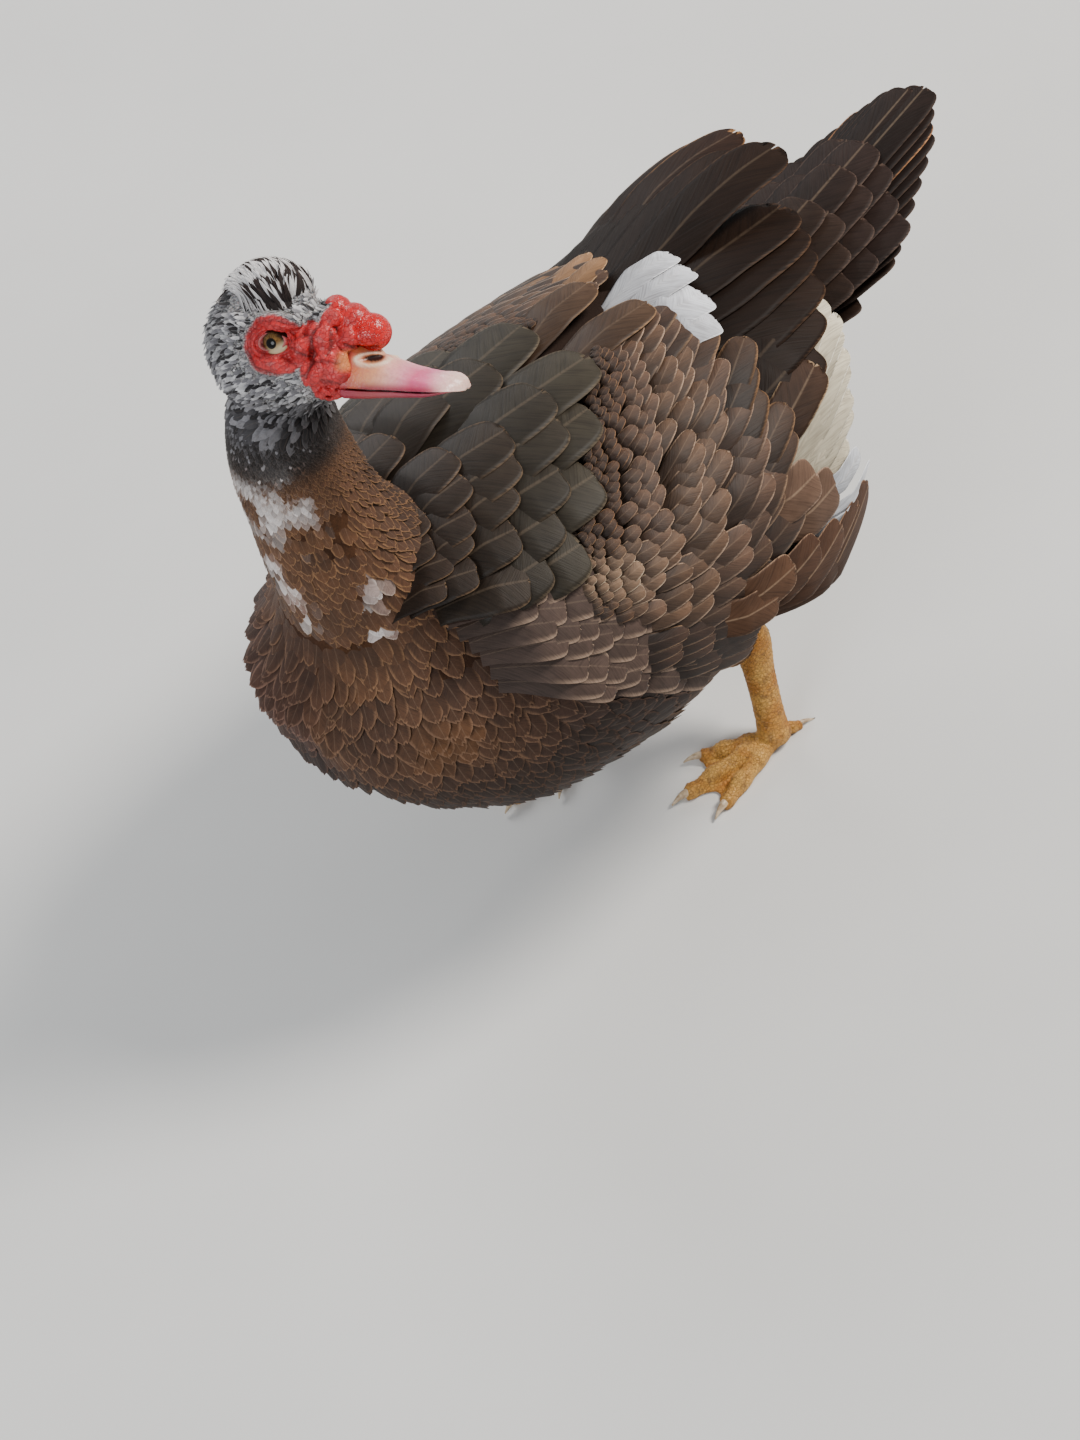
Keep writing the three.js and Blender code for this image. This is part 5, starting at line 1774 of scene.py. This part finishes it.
def claw_rings(length, half):
    """A claw: a tapering ring carried on a quarter of an arc, turned down to its tip."""
    t = np.linspace(0, 1, 12)[:, None]
    x = length - 3 + (CLAW + 3) * t
    z = 3.9 + 1.4 * np.sin(t * np.pi * 0.9) - 2.2 * t**1.6
    r = half * (0.5 - 0.42 * t**1.3)
    a = circle(14)
    return np.stack([x + 0 * a, r * 0.85 * np.cos(a), z + r * np.sin(a)], -1)


def turned(p, degrees, at, tilt=0.0):
    """Points tilted up or down, turned on the floor and moved to a place."""
    a, b = degrees * RAD, tilt * RAD
    lean = np.array([[math.cos(b), 0, -math.sin(b)], [0, 1, 0], [math.sin(b), 0, math.cos(b)]])
    turn = np.array([[math.cos(a), -math.sin(a), 0], [math.sin(a), math.cos(a), 0], [0, 0, 1]])
    return p @ lean.T @ turn.T + np.array(at, float)


def web_sheet(ankle, angle_a, reach_a, angle_b, reach_b):
    """A web between two toes: straight lines across from toe to toe, its free edge drawn in, closed
    below."""
    s = np.linspace(0.06, 1, 34)[:, None]
    t = np.linspace(0, 1, 26)[None, :]
    a = np.array([math.cos(angle_a * RAD), math.sin(angle_a * RAD)]) * reach_a
    b = np.array([math.cos(angle_b * RAD), math.sin(angle_b * RAD)]) * reach_b
    pull = (s * (1 - 0.62 * t * (1 - t)))[..., None]
    xy = np.array(ankle) + ((a[None, None] * (1 - t)[..., None] + b[None, None] * t[..., None]) * pull)
    ripple = 0.25 * np.sin(s * 26 + 3 * t) * np.sin(np.pi * t)
    top = 2.6 + 1.2 * (1 - s) - 0.7 * np.sin(np.pi * t) * s + ripple
    upper = np.concatenate([xy, top[..., None]], -1)
    lower = np.concatenate([xy, 0 * top[..., None] + 0.5], -1)
    return capped(np.concatenate([upper, lower[:, ::-1]], 1))


def on_foot(leg, rings, stretch=1.0):
    """Rings of each front toe, and of the hind toe stretched, turned and moved to their places on a
    foot."""
    ankle, heading, side = leg["ankle"], leg["heading"], leg["side"]
    toes = [turned(rings(length, half), heading + splay * side, (*ankle, 0)) for splay, length, half in TOES]
    splay, length, half, root, tilt = HIND_TOE
    hind = rings(length, half) * np.array([1, 1, stretch])
    toes.append(turned(hind, heading + splay, (*ankle, root), tilt))
    return [capped(toe) for toe in toes]


def leg_skin(name, leg):
    """Shank, toes and webs fused into one skin with flat soles, with small folds across the shank."""
    ankle, heading, side = leg["ankle"], leg["heading"], leg["side"]
    shells = [capped(leg_rings(leg["hock"], (*ankle, 6), SHANK_ROWS))]
    shells.append(capped(ellipsoid((*ankle, 7.5), (10, 9.5, 7.5))))
    shells.append(capped(ellipsoid(leg["hock"], (9.8, 10.8, 10.5))))
    shells += on_foot(leg, toe_rings)
    middle, outer, inner = [(heading + splay * side, length * 0.95) for splay, length, _ in TOES]
    shells.append(web_sheet(ankle, *outer, *middle))
    shells.append(web_sheet(ankle, *middle, *inner))
    points, quads = fused(name, shells, 0.95, 3)
    normal = point_normals(points, halved(quads))
    flat = points - np.array([*ankle, 0])
    radius = np.hypot(flat[:, 0], flat[:, 1])
    turn = np.degrees(np.arctan2(flat[:, 1], flat[:, 0]))
    # How far each point is from the nearest toe's middle, in half widths of the toe
    across = np.full(len(points), 9.0)
    for splay, _, half in TOES:
        off = (turn - heading - splay * side + 180) % 360 - 180
        across = np.minimum(across, np.where(np.abs(off) < 90, np.abs(radius * np.sin(off * RAD)) / half, 9))
    web = ramp(across, 0.9, 1.3) * ramp(radius, 12, 20) * ramp(-points[:, 2], -7, -4)
    on_shank = ramp(points[:, 2], 12, 20)
    folds = 0.22 * np.sin(points[:, 2] * 2 * np.pi / 3.1 + 1.2 * noise(points, 5, 8)) * on_shank
    folds += 0.2 * np.sin(radius * 2 * np.pi / 2.7) * (1 - on_shank) * (1 - web) * ramp(points[:, 2], 2.5, 6)
    folds += 0.16 * noise(points, 1.6, 11)
    points = points + normal * folds[:, None]
    points[:, 2] = np.where(points[:, 2] < 0.45, 0.0, points[:, 2])
    return points, quads, web


def claws(leg):
    """The four claws of a foot, just above the floor."""
    points, faces = joined(on_foot(leg, claw_rings, 0.8))
    points[:, 2] = np.maximum(points[:, 2], 0.1)
    return points, faces


def eyeball(side):
    """A ball with a slightly raised cornea, and for each point its share of the iris, its angle as
    a spoke, and how low it is in the iris, which sets the painted light of the lower iris."""
    rows, sides = 60, 64
    behind = 9
    tilt = np.linspace(0.02, np.pi - 0.02, rows)
    turn = circle(sides)
    r = EYE_R * (1 + 0.035 * bell(tilt, 0, 0.5))
    points, faces = capped(np.stack([
        EYE_X + (r * np.sin(tilt))[:, None] * np.cos(turn),
        side * (EYE_SIDE + (r * np.cos(tilt))[:, None] + 0 * turn),
        EYE_Z + (r * np.sin(tilt))[:, None] * np.sin(turn),
    ], -1))
    if side > 0:
        faces = [f[:, ::-1] for f in faces]
    share = np.repeat(np.where(tilt < 1.57, np.sin(tilt) * EYE_R / IRIS_R, behind), sides)
    low = np.minimum(share, 1.2).reshape(rows, sides) * -np.sin(turn - 0.5)
    return points, faces, {
        "radius": np.concatenate([share, [0, behind]]),
        "spoke": np.concatenate([np.tile(np.abs(np.sin(turn / 2)), rows), [0, 0]]),
        "low": np.concatenate([low.reshape(-1), [0, 0]]),
    }


class DuckSizes(bpy.types.PropertyGroup):
    """Sizes of the coat and of the view."""

    breast_feather: bpy.props.FloatProperty(
        name="Breast feather",
        description="Width of a breast feather in millimetres",
        default=13.0,
        subtype="DISTANCE_CAMERA",
    )
    neck_feather: bpy.props.FloatProperty(
        name="Neck feather",
        description="Width of a mid neck feather in millimetres",
        default=7.5,
        subtype="DISTANCE_CAMERA",
    )
    crest: bpy.props.FloatProperty(
        name="Crest",
        description="Length of the raised crown feathers in millimetres",
        default=19.0,
        subtype="DISTANCE_CAMERA",
    )
    lens_pixels: bpy.props.FloatProperty(
        name="Lens",
        description="Focal length in pixels of the 1440 high frame",
        default=3040.0,
        subtype="PIXEL",
    )


class DuckColours(bpy.types.PropertyGroup):
    """Colours that a user would change."""

    floor: bpy.props.FloatVectorProperty(
        name="Floor",
        description="Floor colour",
        subtype="COLOR",
        default=(0.62, 0.61, 0.59),
    )
    key_light: bpy.props.FloatVectorProperty(
        name="Key light",
        description="Tint of the main light",
        subtype="COLOR",
        default=(1.0, 0.96, 0.9),
    )


def down_mesh(name, shell, tint):
    """A closed shell in one colour of down."""
    points, faces = shell
    return build_mesh(name, points, faces, {"ink": np.broadcast_to(paint(tint), (len(points), 3))})


class DUCK_OT_skin(bpy.types.Operator):
    """One skin over torso, neck and thighs"""

    bl_idname = "duck.skin"
    bl_label = "Body skin"

    def execute(self, context):
        points, quads = body_skin()
        ink, _ = coat_colours(points, np.random.default_rng(5))
        mesh = build_mesh("body_skin", points, quads, {"ink": ink}, skin_uv(points))
        nodes = ("torso", "neck", "thigh_left", "thigh_right")
        add_piece("body_skin", mesh, MATERIALS["down"], nodes)
        SKIN["points"], SKIN["tris"] = mesh_points(mesh), mesh_triangles(mesh)
        SKIN["normals"] = point_normals(SKIN["points"], SKIN["tris"])
        return {"FINISHED"}


class DUCK_OT_coat(bpy.types.Operator):
    """Body feathers in overlapping rows over the skin"""

    bl_idname = "duck.coat"
    bl_label = "Body feathers"

    def execute(self, context):
        sizes = context.scene.duck_sizes

        def feather_width(p):
            """Widest on the flank, narrower on breast and thigh, and very small at the collar."""
            head, neck = regions(p)
            torso = sizes.breast_feather * (1 + 0.35 * ramp(p[..., 1], -90, -20))
            base = sizes.breast_feather * 0.8
            up = base + (sizes.neck_feather - base) * ramp(p[..., 2], 240, 300)
            up = up + (2.4 - up) * ramp(p[..., 2], 308, 346)
            thigh = ramp(-p[..., 2], -100, -60) * ramp(p[..., 1], -20, 0)
            return (torso * (1 - neck) + up * neck) * (1 - 0.45 * thigh) * (1 - head) + 2.8 * head

        def gap(p):
            """No feathers where a wing covers the skin."""
            return np.where(wing_cover(p), NOWHERE, feather_width(p) * 0.4)

        root, normal = scatter(SKIN["points"], SKIN["tris"], SKIN["normals"], gap, 11)
        # None inside the head, and none on the flat end of the thigh
        keep = np.linalg.norm((to_head(root) - np.array([0, 0, -5])) / np.array([37, 19, 31]), axis=1) > 1
        keep &= (root[:, 2] > 84) | (normal @ THIGH_WAY < 0.55)
        root, normal = root[keep], normal[keep]
        rng = np.random.default_rng(12)
        width = feather_width(root) * rng.uniform(0.88, 1.15, len(root))
        length = width * (1.9 + 0.5 * ramp(-width, -9, -6))
        lie = coat_lie(root, normal)
        wander = rng.normal(0, 0.1, len(root))[:, None]
        lie = unit(lie + np.cross(normal, lie) * wander)
        ink, rim = coat_colours(root, rng)
        # The feathers rise out of the fold where the neck meets the body, and from the nape.
        neck = regions(root)[1]
        nape = ramp(root[:, 1], -120, -98) * ramp(neck, 0.3, 0.8) * ramp(-root[:, 2], -352, -316)
        hollow = np.maximum(fold_share(neck, 1.2) * ramp(-root[:, 2], -300, -262), nape)
        small = ramp(-width, -6, -3)
        fine = width < 9.5
        front = root[:, 1] < -62
        groups = (
            ("breast_feathers", ~fine & front, 8, 7),
            ("flank_feathers", ~fine & ~front, 8, 7),
            ("neck_feathers", fine, 6, 5),
        )
        for name, pick, nu, nv in groups:
            lift = (0.06 + 0.07 * rng.uniform(0, 1, pick.sum())) * width[pick] + 1.0 + 2.2 * hollow[pick]
            lift = lift + 0.45 * small[pick]
            bend = 0.045 - 0.13 * hollow[pick] - 0.02 * small[pick]
            start = root[pick] - normal[pick] * 0.6
            path, up = straight_paths(start, lie[pick], normal[pick], length[pick], lift, bend, nu)
            made = vanes(path, up, width[pick], nv, (0.5, 0.45, 0.2), 21, camber=0.12, fringe=0.1)
            mesh = feather_mesh(name, made, ink[pick], rim[pick], 0.12, skin_uv(root[pick]), seed=22)
            add_piece(name, mesh, MATERIALS["small"])
        return {"FINISHED"}


class DUCK_OT_wings(bpy.types.Operator):
    """Both folded wings: flight feathers, coverts and shoulder feathers"""

    bl_idname = "duck.wings"
    bl_label = "Wings"

    def execute(self, context):
        # Piece, tiers, material, points along and across a vane, thickness, keel, seed, camber
        layers = (
            ("flight_feathers_", wing_tiers, "flight", 30, 13, 0.7, 0.5, 100, 0.08),
            ("coverts_", covert_tiers, "covert", 14, 9, 0.5, 0.2, 200, 0.14),
            ("shoulder_feathers_", scapular_tiers, "shoulder", 20, 11, 0.6, 0.2, 300, 0.1),
            ("side_feathers_", side_tiers, "small", 12, 9, 0.0, 0.0, 400, 0.1),
        )
        for side, name in ((1, "left"), (-1, "right")):
            bed = down_mesh("wing_bed_" + name, wing_bed(side), "wing bed")
            add_piece("wing_bed_" + name, bed, MATERIALS["down"], ("wing_" + name,))
            for piece, tiers, material, nu, nv, thick, keel, seed, camber in layers:
                rows = tiers(side)
                mesh = lay_feathers(piece + name, side, rows, nu, nv, thick, keel, seed + side, camber)
                add_piece(piece + name, mesh, MATERIALS[material])
        return {"FINISHED"}


class DUCK_OT_tail(bpy.types.Operator):
    """The graduated tail with its coverts"""

    bl_idname = "duck.tail"
    bl_label = "Tail"

    def execute(self, context):
        stump = down_mesh("tail_stump", tail_stump(), "tail stump")
        add_piece("tail_stump", stump, MATERIALS["down"], ("tail",))
        add_piece("tail_feathers", tail_feathers(), MATERIALS["flight"])
        return {"FINISHED"}


class DUCK_OT_head(bpy.types.Operator):
    """Head skin with caruncles and lids, small peppered feathers and the raised crest"""

    bl_idname = "duck.head"
    bl_label = "Head"

    def execute(self, context):
        points, quads, local, shares = face_skin()
        rng = np.random.default_rng(51)
        ink, _ = coat_colours(points, rng)
        mesh = build_mesh("head_skin", points, quads, {"ink": ink, **shares}, head_uv(local))
        add_piece("head_skin", mesh, MATERIALS["face"], ("head",))
        tris = halved(quads)
        root, normal = scatter(points, tris, point_normals(points, tris), head_gap, 52)
        self.small_feathers(root, normal, rng)
        self.crest(context.scene.duck_sizes.crest, rng)
        return {"FINISHED"}

    def small_feathers(self, root, normal, rng):
        """Small peppered feathers all over the head but for bare skin and crest, narrower beside
        the bare skin."""
        spot = to_head(root)
        keep = (bare_share(spot) < 0.4) & (spot[:, 0] < 34) & ~under_crest(spot)
        root, normal, spot = root[keep], normal[keep], spot[keep]
        lie = head_flow(spot, normal @ HEAD_AXES.T) @ HEAD_AXES
        lie = unit(lie + 0.16 * rng.normal(0, 1, lie.shape))
        # Those whose tips would lie on bare skin are left out.
        clear = bare_share(spot + 3.5 * (lie @ HEAD_AXES.T)) < 0.6
        root, normal, spot, lie = root[clear], normal[clear], spot[clear], lie[clear]
        near = ramp(bare_share(spot + np.array([2.5, 0, 0])), 0.1, 0.9)
        width = (1.8 - 0.4 * near) * rng.uniform(0.8, 1.2, len(root))
        ink, rim = coat_colours(root, rng)
        rise = 0.6 + 0.35 * rng.uniform(0, 1, len(root))
        path, up = straight_paths(root - normal * 0.3, lie, normal, width * 3.3, rise, 0.05, 5)
        made = vanes(path, up, width, 5, (0.5, 0.35, 0.12), 53, camber=0.14, fringe=0.22)
        mesh = feather_mesh("head_feathers", made, ink, rim, 0.0, head_uv(spot), seed=54)
        add_piece("head_feathers", mesh, MATERIALS["small"])

    def crest(self, size, rng):
        """Long narrow crown feathers laid up and back over the crest's mound, their ends loose
        along its ridge."""
        rows, across = 19, 46
        row = np.repeat(np.arange(rows), across)
        place = np.tile(np.arange(across), rows) + (row % 2) * 0.5
        back = -80 + 130 * row / (rows - 1) + rng.normal(0, 2.5, len(row))
        left = (place / across - 0.5) * 236 + rng.normal(0, 2, len(row))
        keep = np.abs(left) < 60 + 58 * ramp(back, -84, -62) - 62 * ramp(back, 24, 54)
        back, left = back[keep], left[keep]
        count = len(back)
        turn = (size / 16 / RAD) * rng.uniform(0.75, 1.1, count)
        toward = 0.82 * np.clip(np.abs(left) / 70, 0, 1)
        t = np.linspace(0, 1, 11)[None, :]
        loose = rng.uniform(0.9, 2.6, count) * (1 + 0.7 * ramp(back, 0, 40))
        lift = -0.8 + (loose[:, None] + 0.8) * t**1.8
        end = np.minimum(back + turn * np.sqrt(1 - toward**2), 104)
        sweep = back[:, None] + (end - back)[:, None] * t
        climb = left[:, None] - (np.sign(left) * np.minimum(turn * toward, np.abs(left)))[:, None] * t
        path = outside_skull(mound_point(sweep, climb, lift), lift + 0.5)
        above = path + unit(mound_point(sweep, climb, lift + 1) - mound_point(sweep, climb, lift))
        path, up = from_head(path), unit(above - path) @ HEAD_AXES
        width = 1.9 * rng.uniform(0.75, 1.25, count)
        made = vanes(path, up, width, 5, (0.5, 0.35, 0.1), 57, camber=0.3, fringe=0.14)
        # Dark streaks: in front, along the middle and low on the sides
        streak = 0.06 + 0.45 * ramp(-back, 0, 50) + 0.5 * bell(left, 0, 34) * ramp(back, -66, -30)
        dark = (rng.uniform(0, 1, count) < streak + 0.2 * bell(np.abs(left), 100, 14))[:, None]
        tone = rng.uniform(0.82, 1.08, count)[:, None]
        (dark_ink, dark_rim), (light_ink, light_rim) = FEATHERS["dark crest"], FEATHERS["light crest"]
        ink = np.clip(np.where(dark, colour(dark_ink), colour(light_ink)) * tone, 0, 1)
        rim = np.where(dark, colour(dark_rim), colour(light_rim))
        bake = np.column_stack([left / 360 + 0.5, (back + 90) / 260])
        mesh = feather_mesh("crest", made, ink, rim, 0.1, bake, seed=58)
        add_piece("crest", mesh, MATERIALS["small"])


class DUCK_OT_bill(bpy.types.Operator):
    """Upper and lower bill"""

    bl_idname = "duck.bill"
    bl_label = "Bill"

    def execute(self, context):
        for name, (rings, shares) in (("bill_upper", bill_upper()), ("bill_lower", bill_lower())):
            points, faces = capped(rings)
            # The middle of each end has the share of a ring point beside it.
            for key, v in shares.items():
                shares[key] = np.concatenate([v.reshape(-1), [v.flat[0], v.flat[-1]]])
            mesh = build_mesh(name + "_horn", from_head(points), faces, shares)
            add_piece(name + "_horn", mesh, MATERIALS["bill"], (name,))
        return {"FINISHED"}


class DUCK_OT_eyes(bpy.types.Operator):
    """Both eyes"""

    bl_idname = "duck.eyes"
    bl_label = "Eyes"

    def execute(self, context):
        for side, name in ((1, "left"), (-1, "right")):
            points, faces, shares = eyeball(side)
            mesh = build_mesh("eyeball_" + name, from_head(points), faces, shares)
            add_piece("eyeball_" + name, mesh, MATERIALS["eye"], ("eye_" + name,))
        return {"FINISHED"}


class DUCK_OT_legs(bpy.types.Operator):
    """Shanks, webbed feet and claws"""

    bl_idname = "duck.legs"
    bl_label = "Legs"

    def execute(self, context):
        for name, leg in LEGS.items():
            points, quads, web = leg_skin("leg_" + name, leg)
            mesh = build_mesh("leg_" + name, points, quads, {"web": web})
            add_piece("leg_" + name, mesh, MATERIALS["leg"], ("shank_" + name, "foot_" + name))
            points, faces = claws(leg)
            add_piece("claws_" + name, build_mesh("claws_" + name, points, faces), MATERIALS["claw"])
        return {"FINISHED"}


MATERIALS = {}


def make_materials():
    """Every material of the bird, by name."""
    MATERIALS["down"] = down_material()
    for kind, looks in PLUMAGE.items():
        MATERIALS[kind] = plumage_material(kind + "_feather", *looks)
    MATERIALS["face"] = face_material()
    MATERIALS["bill"] = bill_material()
    MATERIALS["eye"] = eye_material()
    MATERIALS["leg"] = leg_material()
    MATERIALS["claw"] = claw_material()


class DUCK_OT_stage(bpy.types.Operator):
    """Pale floor, soft lights and the camera"""

    bl_idname = "duck.stage"
    bl_label = "Stage"

    def execute(self, context):
        add_stage(context)
        return {"FINISHED"}


# Degrees, metres and pixels that agree with the photograph
CAMERA_AZIMUTH = 56
CAMERA_ELEVATION = 43
CAMERA_ROLL = 18
CAMERA_DISTANCE = 1.6
AIM = (0.0, 0.0, 0.16)
AIM_PIXEL = (535, 560)
FRAME_PIXELS = (1080, 1440)


def camera_matrix(focal):
    """The camera behind the aim point, turned until that point falls on its pixel, then rolled
    about the lens axis."""
    a, e, r = CAMERA_AZIMUTH * RAD, CAMERA_ELEVATION * RAD, CAMERA_ROLL * RAD
    back = np.array([math.sin(a) * math.cos(e), -math.cos(a) * math.cos(e), math.sin(e)])
    right = np.array([math.cos(a), math.sin(a), 0.0])
    up = np.cross(back, right)
    aim = np.array(AIM) + SHIFT
    eye = aim + back * CAMERA_DISTANCE
    w, h = FRAME_PIXELS
    roll = np.array([[math.cos(r), -math.sin(r), 0], [math.sin(r), math.cos(r), 0], [0, 0, 1]])
    # The pixel as a ray before the roll
    ray = roll.T @ np.array([(AIM_PIXEL[0] - w / 2) / focal, -(AIM_PIXEL[1] - h / 2) / focal, -1.0])
    turn = Vector(ray).normalized().rotation_difference(Vector((0, 0, -1))).to_matrix()
    axes = roll @ np.array(turn.transposed()) @ np.array([right, up, back])
    return Matrix([[*axes[:, k], eye[k]] for k in range(3)] + [[0, 0, 0, 1]])


def add_light(name, at, target, size, power, tint):
    """A round lamp at a place, turned to its target: metres, watts and a tint."""
    data = bpy.data.lights.new(name, "AREA")
    data.shape = "DISK"
    data.size = size
    data.energy = power
    data.color = tint
    light = bpy.data.objects.new(name, data)
    light.location = at
    light.rotation_euler = (Vector(target) - Vector(at)).to_track_quat("-Z", "Y").to_euler()
    bpy.context.scene.collection.objects.link(light)


# Half width of the floor in metres, and its points along a side
FLOOR_HALF, FLOOR_POINTS = 9.0, 60
# Height of the camera's sensor in millimetres
SENSOR = 36.0
WORLD_TINT, WORLD_STRENGTH = (0.86, 0.9, 0.95, 1), 0.5


def add_stage(context):
    """The floor, three lamps, an even sky and the camera."""
    half, n = FLOOR_HALF, FLOOR_POINTS
    x, y = np.meshgrid(np.linspace(-half, half, n), np.linspace(-half, half, n))
    points = np.stack([x, y, 0 * x], -1).reshape(-1, 3) / MM
    mesh = build_mesh("floor", points, grid_faces(n, n))
    m = Nodes("floor_paint")
    cloud = m.noise(m.place(), 3.0, 5.0)
    tint = context.scene.duck_colours.floor
    base = m.mix(m.fit(cloud, 0.3, 0.7), tuple(tint), tuple(c * 1.06 for c in tint))
    material = m.finish(Base_Color=base, Roughness=0.75)
    floor = bpy.data.objects.new("floor", mesh)
    context.scene.collection.objects.link(floor)
    mesh.materials.append(material)
    add_light("key", (1.1, 1.5, 2.2), (0, 0, 0.18), 0.9, 108, tuple(context.scene.duck_colours.key_light))
    add_light("fill", (0.6, -2.2, 1.4), (0, 0, 0.2), 1.2, 34, (0.92, 0.96, 1.0))
    add_light("back", (-2.0, 0.6, 1.5), (0, 0, 0.2), 1.4, 31, (1.0, 1.0, 1.0))
    world = bpy.data.worlds.new("studio")
    world.use_nodes = True
    sky = world.node_tree.nodes["Background"].inputs
    sky[0].default_value = WORLD_TINT
    sky[1].default_value = WORLD_STRENGTH
    context.scene.world = world
    data = bpy.data.cameras.new("camera")
    data.sensor_fit = "VERTICAL"
    data.sensor_height = SENSOR
    data.lens = context.scene.duck_sizes.lens_pixels * SENSOR / FRAME_PIXELS[1]
    data.clip_start = 0.05
    camera = bpy.data.objects.new("camera", data)
    camera.matrix_world = camera_matrix(context.scene.duck_sizes.lens_pixels)
    context.scene.collection.objects.link(camera)
    context.scene.camera = camera


OPERATORS = [
    DUCK_OT_stage,
    DUCK_OT_skin,
    DUCK_OT_coat,
    DUCK_OT_wings,
    DUCK_OT_tail,
    DUCK_OT_head,
    DUCK_OT_bill,
    DUCK_OT_eyes,
    DUCK_OT_legs,
]


class DUCK_PT_panel(bpy.types.Panel):
    """The duck's operators and sizes"""

    bl_idname = "DUCK_PT_panel"
    bl_label = "Muscovy duck"
    bl_space_type = "VIEW_3D"
    bl_region_type = "UI"
    bl_category = "Duck"

    def draw(self, context):
        layout = self.layout
        for group in (context.scene.duck_sizes, context.scene.duck_colours):
            for key in group.bl_rna.properties.keys():
                if key not in ("rna_type", "name"):
                    layout.prop(group, key)
        for operator in OPERATORS:
            layout.operator(operator.bl_idname)


CLASSES = [DuckSizes, DuckColours, *OPERATORS, DUCK_PT_panel]


def register():
    """Add the classes, and their settings to the scene."""
    for cls in CLASSES:
        bpy.utils.register_class(cls)
    bpy.types.Scene.duck_sizes = bpy.props.PointerProperty(type=DuckSizes)
    bpy.types.Scene.duck_colours = bpy.props.PointerProperty(type=DuckColours)


def unregister():
    """Take the settings and the classes away again."""
    del bpy.types.Scene.duck_sizes
    del bpy.types.Scene.duck_colours
    for cls in reversed(CLASSES):
        bpy.utils.unregister_class(cls)


def main():
    """Run every operator in the order of the pieces."""
    register()
    make_materials()
    bpy.ops.duck.stage()
    bpy.ops.duck.skin()
    bpy.ops.duck.coat()
    bpy.ops.duck.wings()
    bpy.ops.duck.tail()
    bpy.ops.duck.head()
    bpy.ops.duck.bill()
    bpy.ops.duck.eyes()
    bpy.ops.duck.legs()


if __name__ == "__main__":
    main()
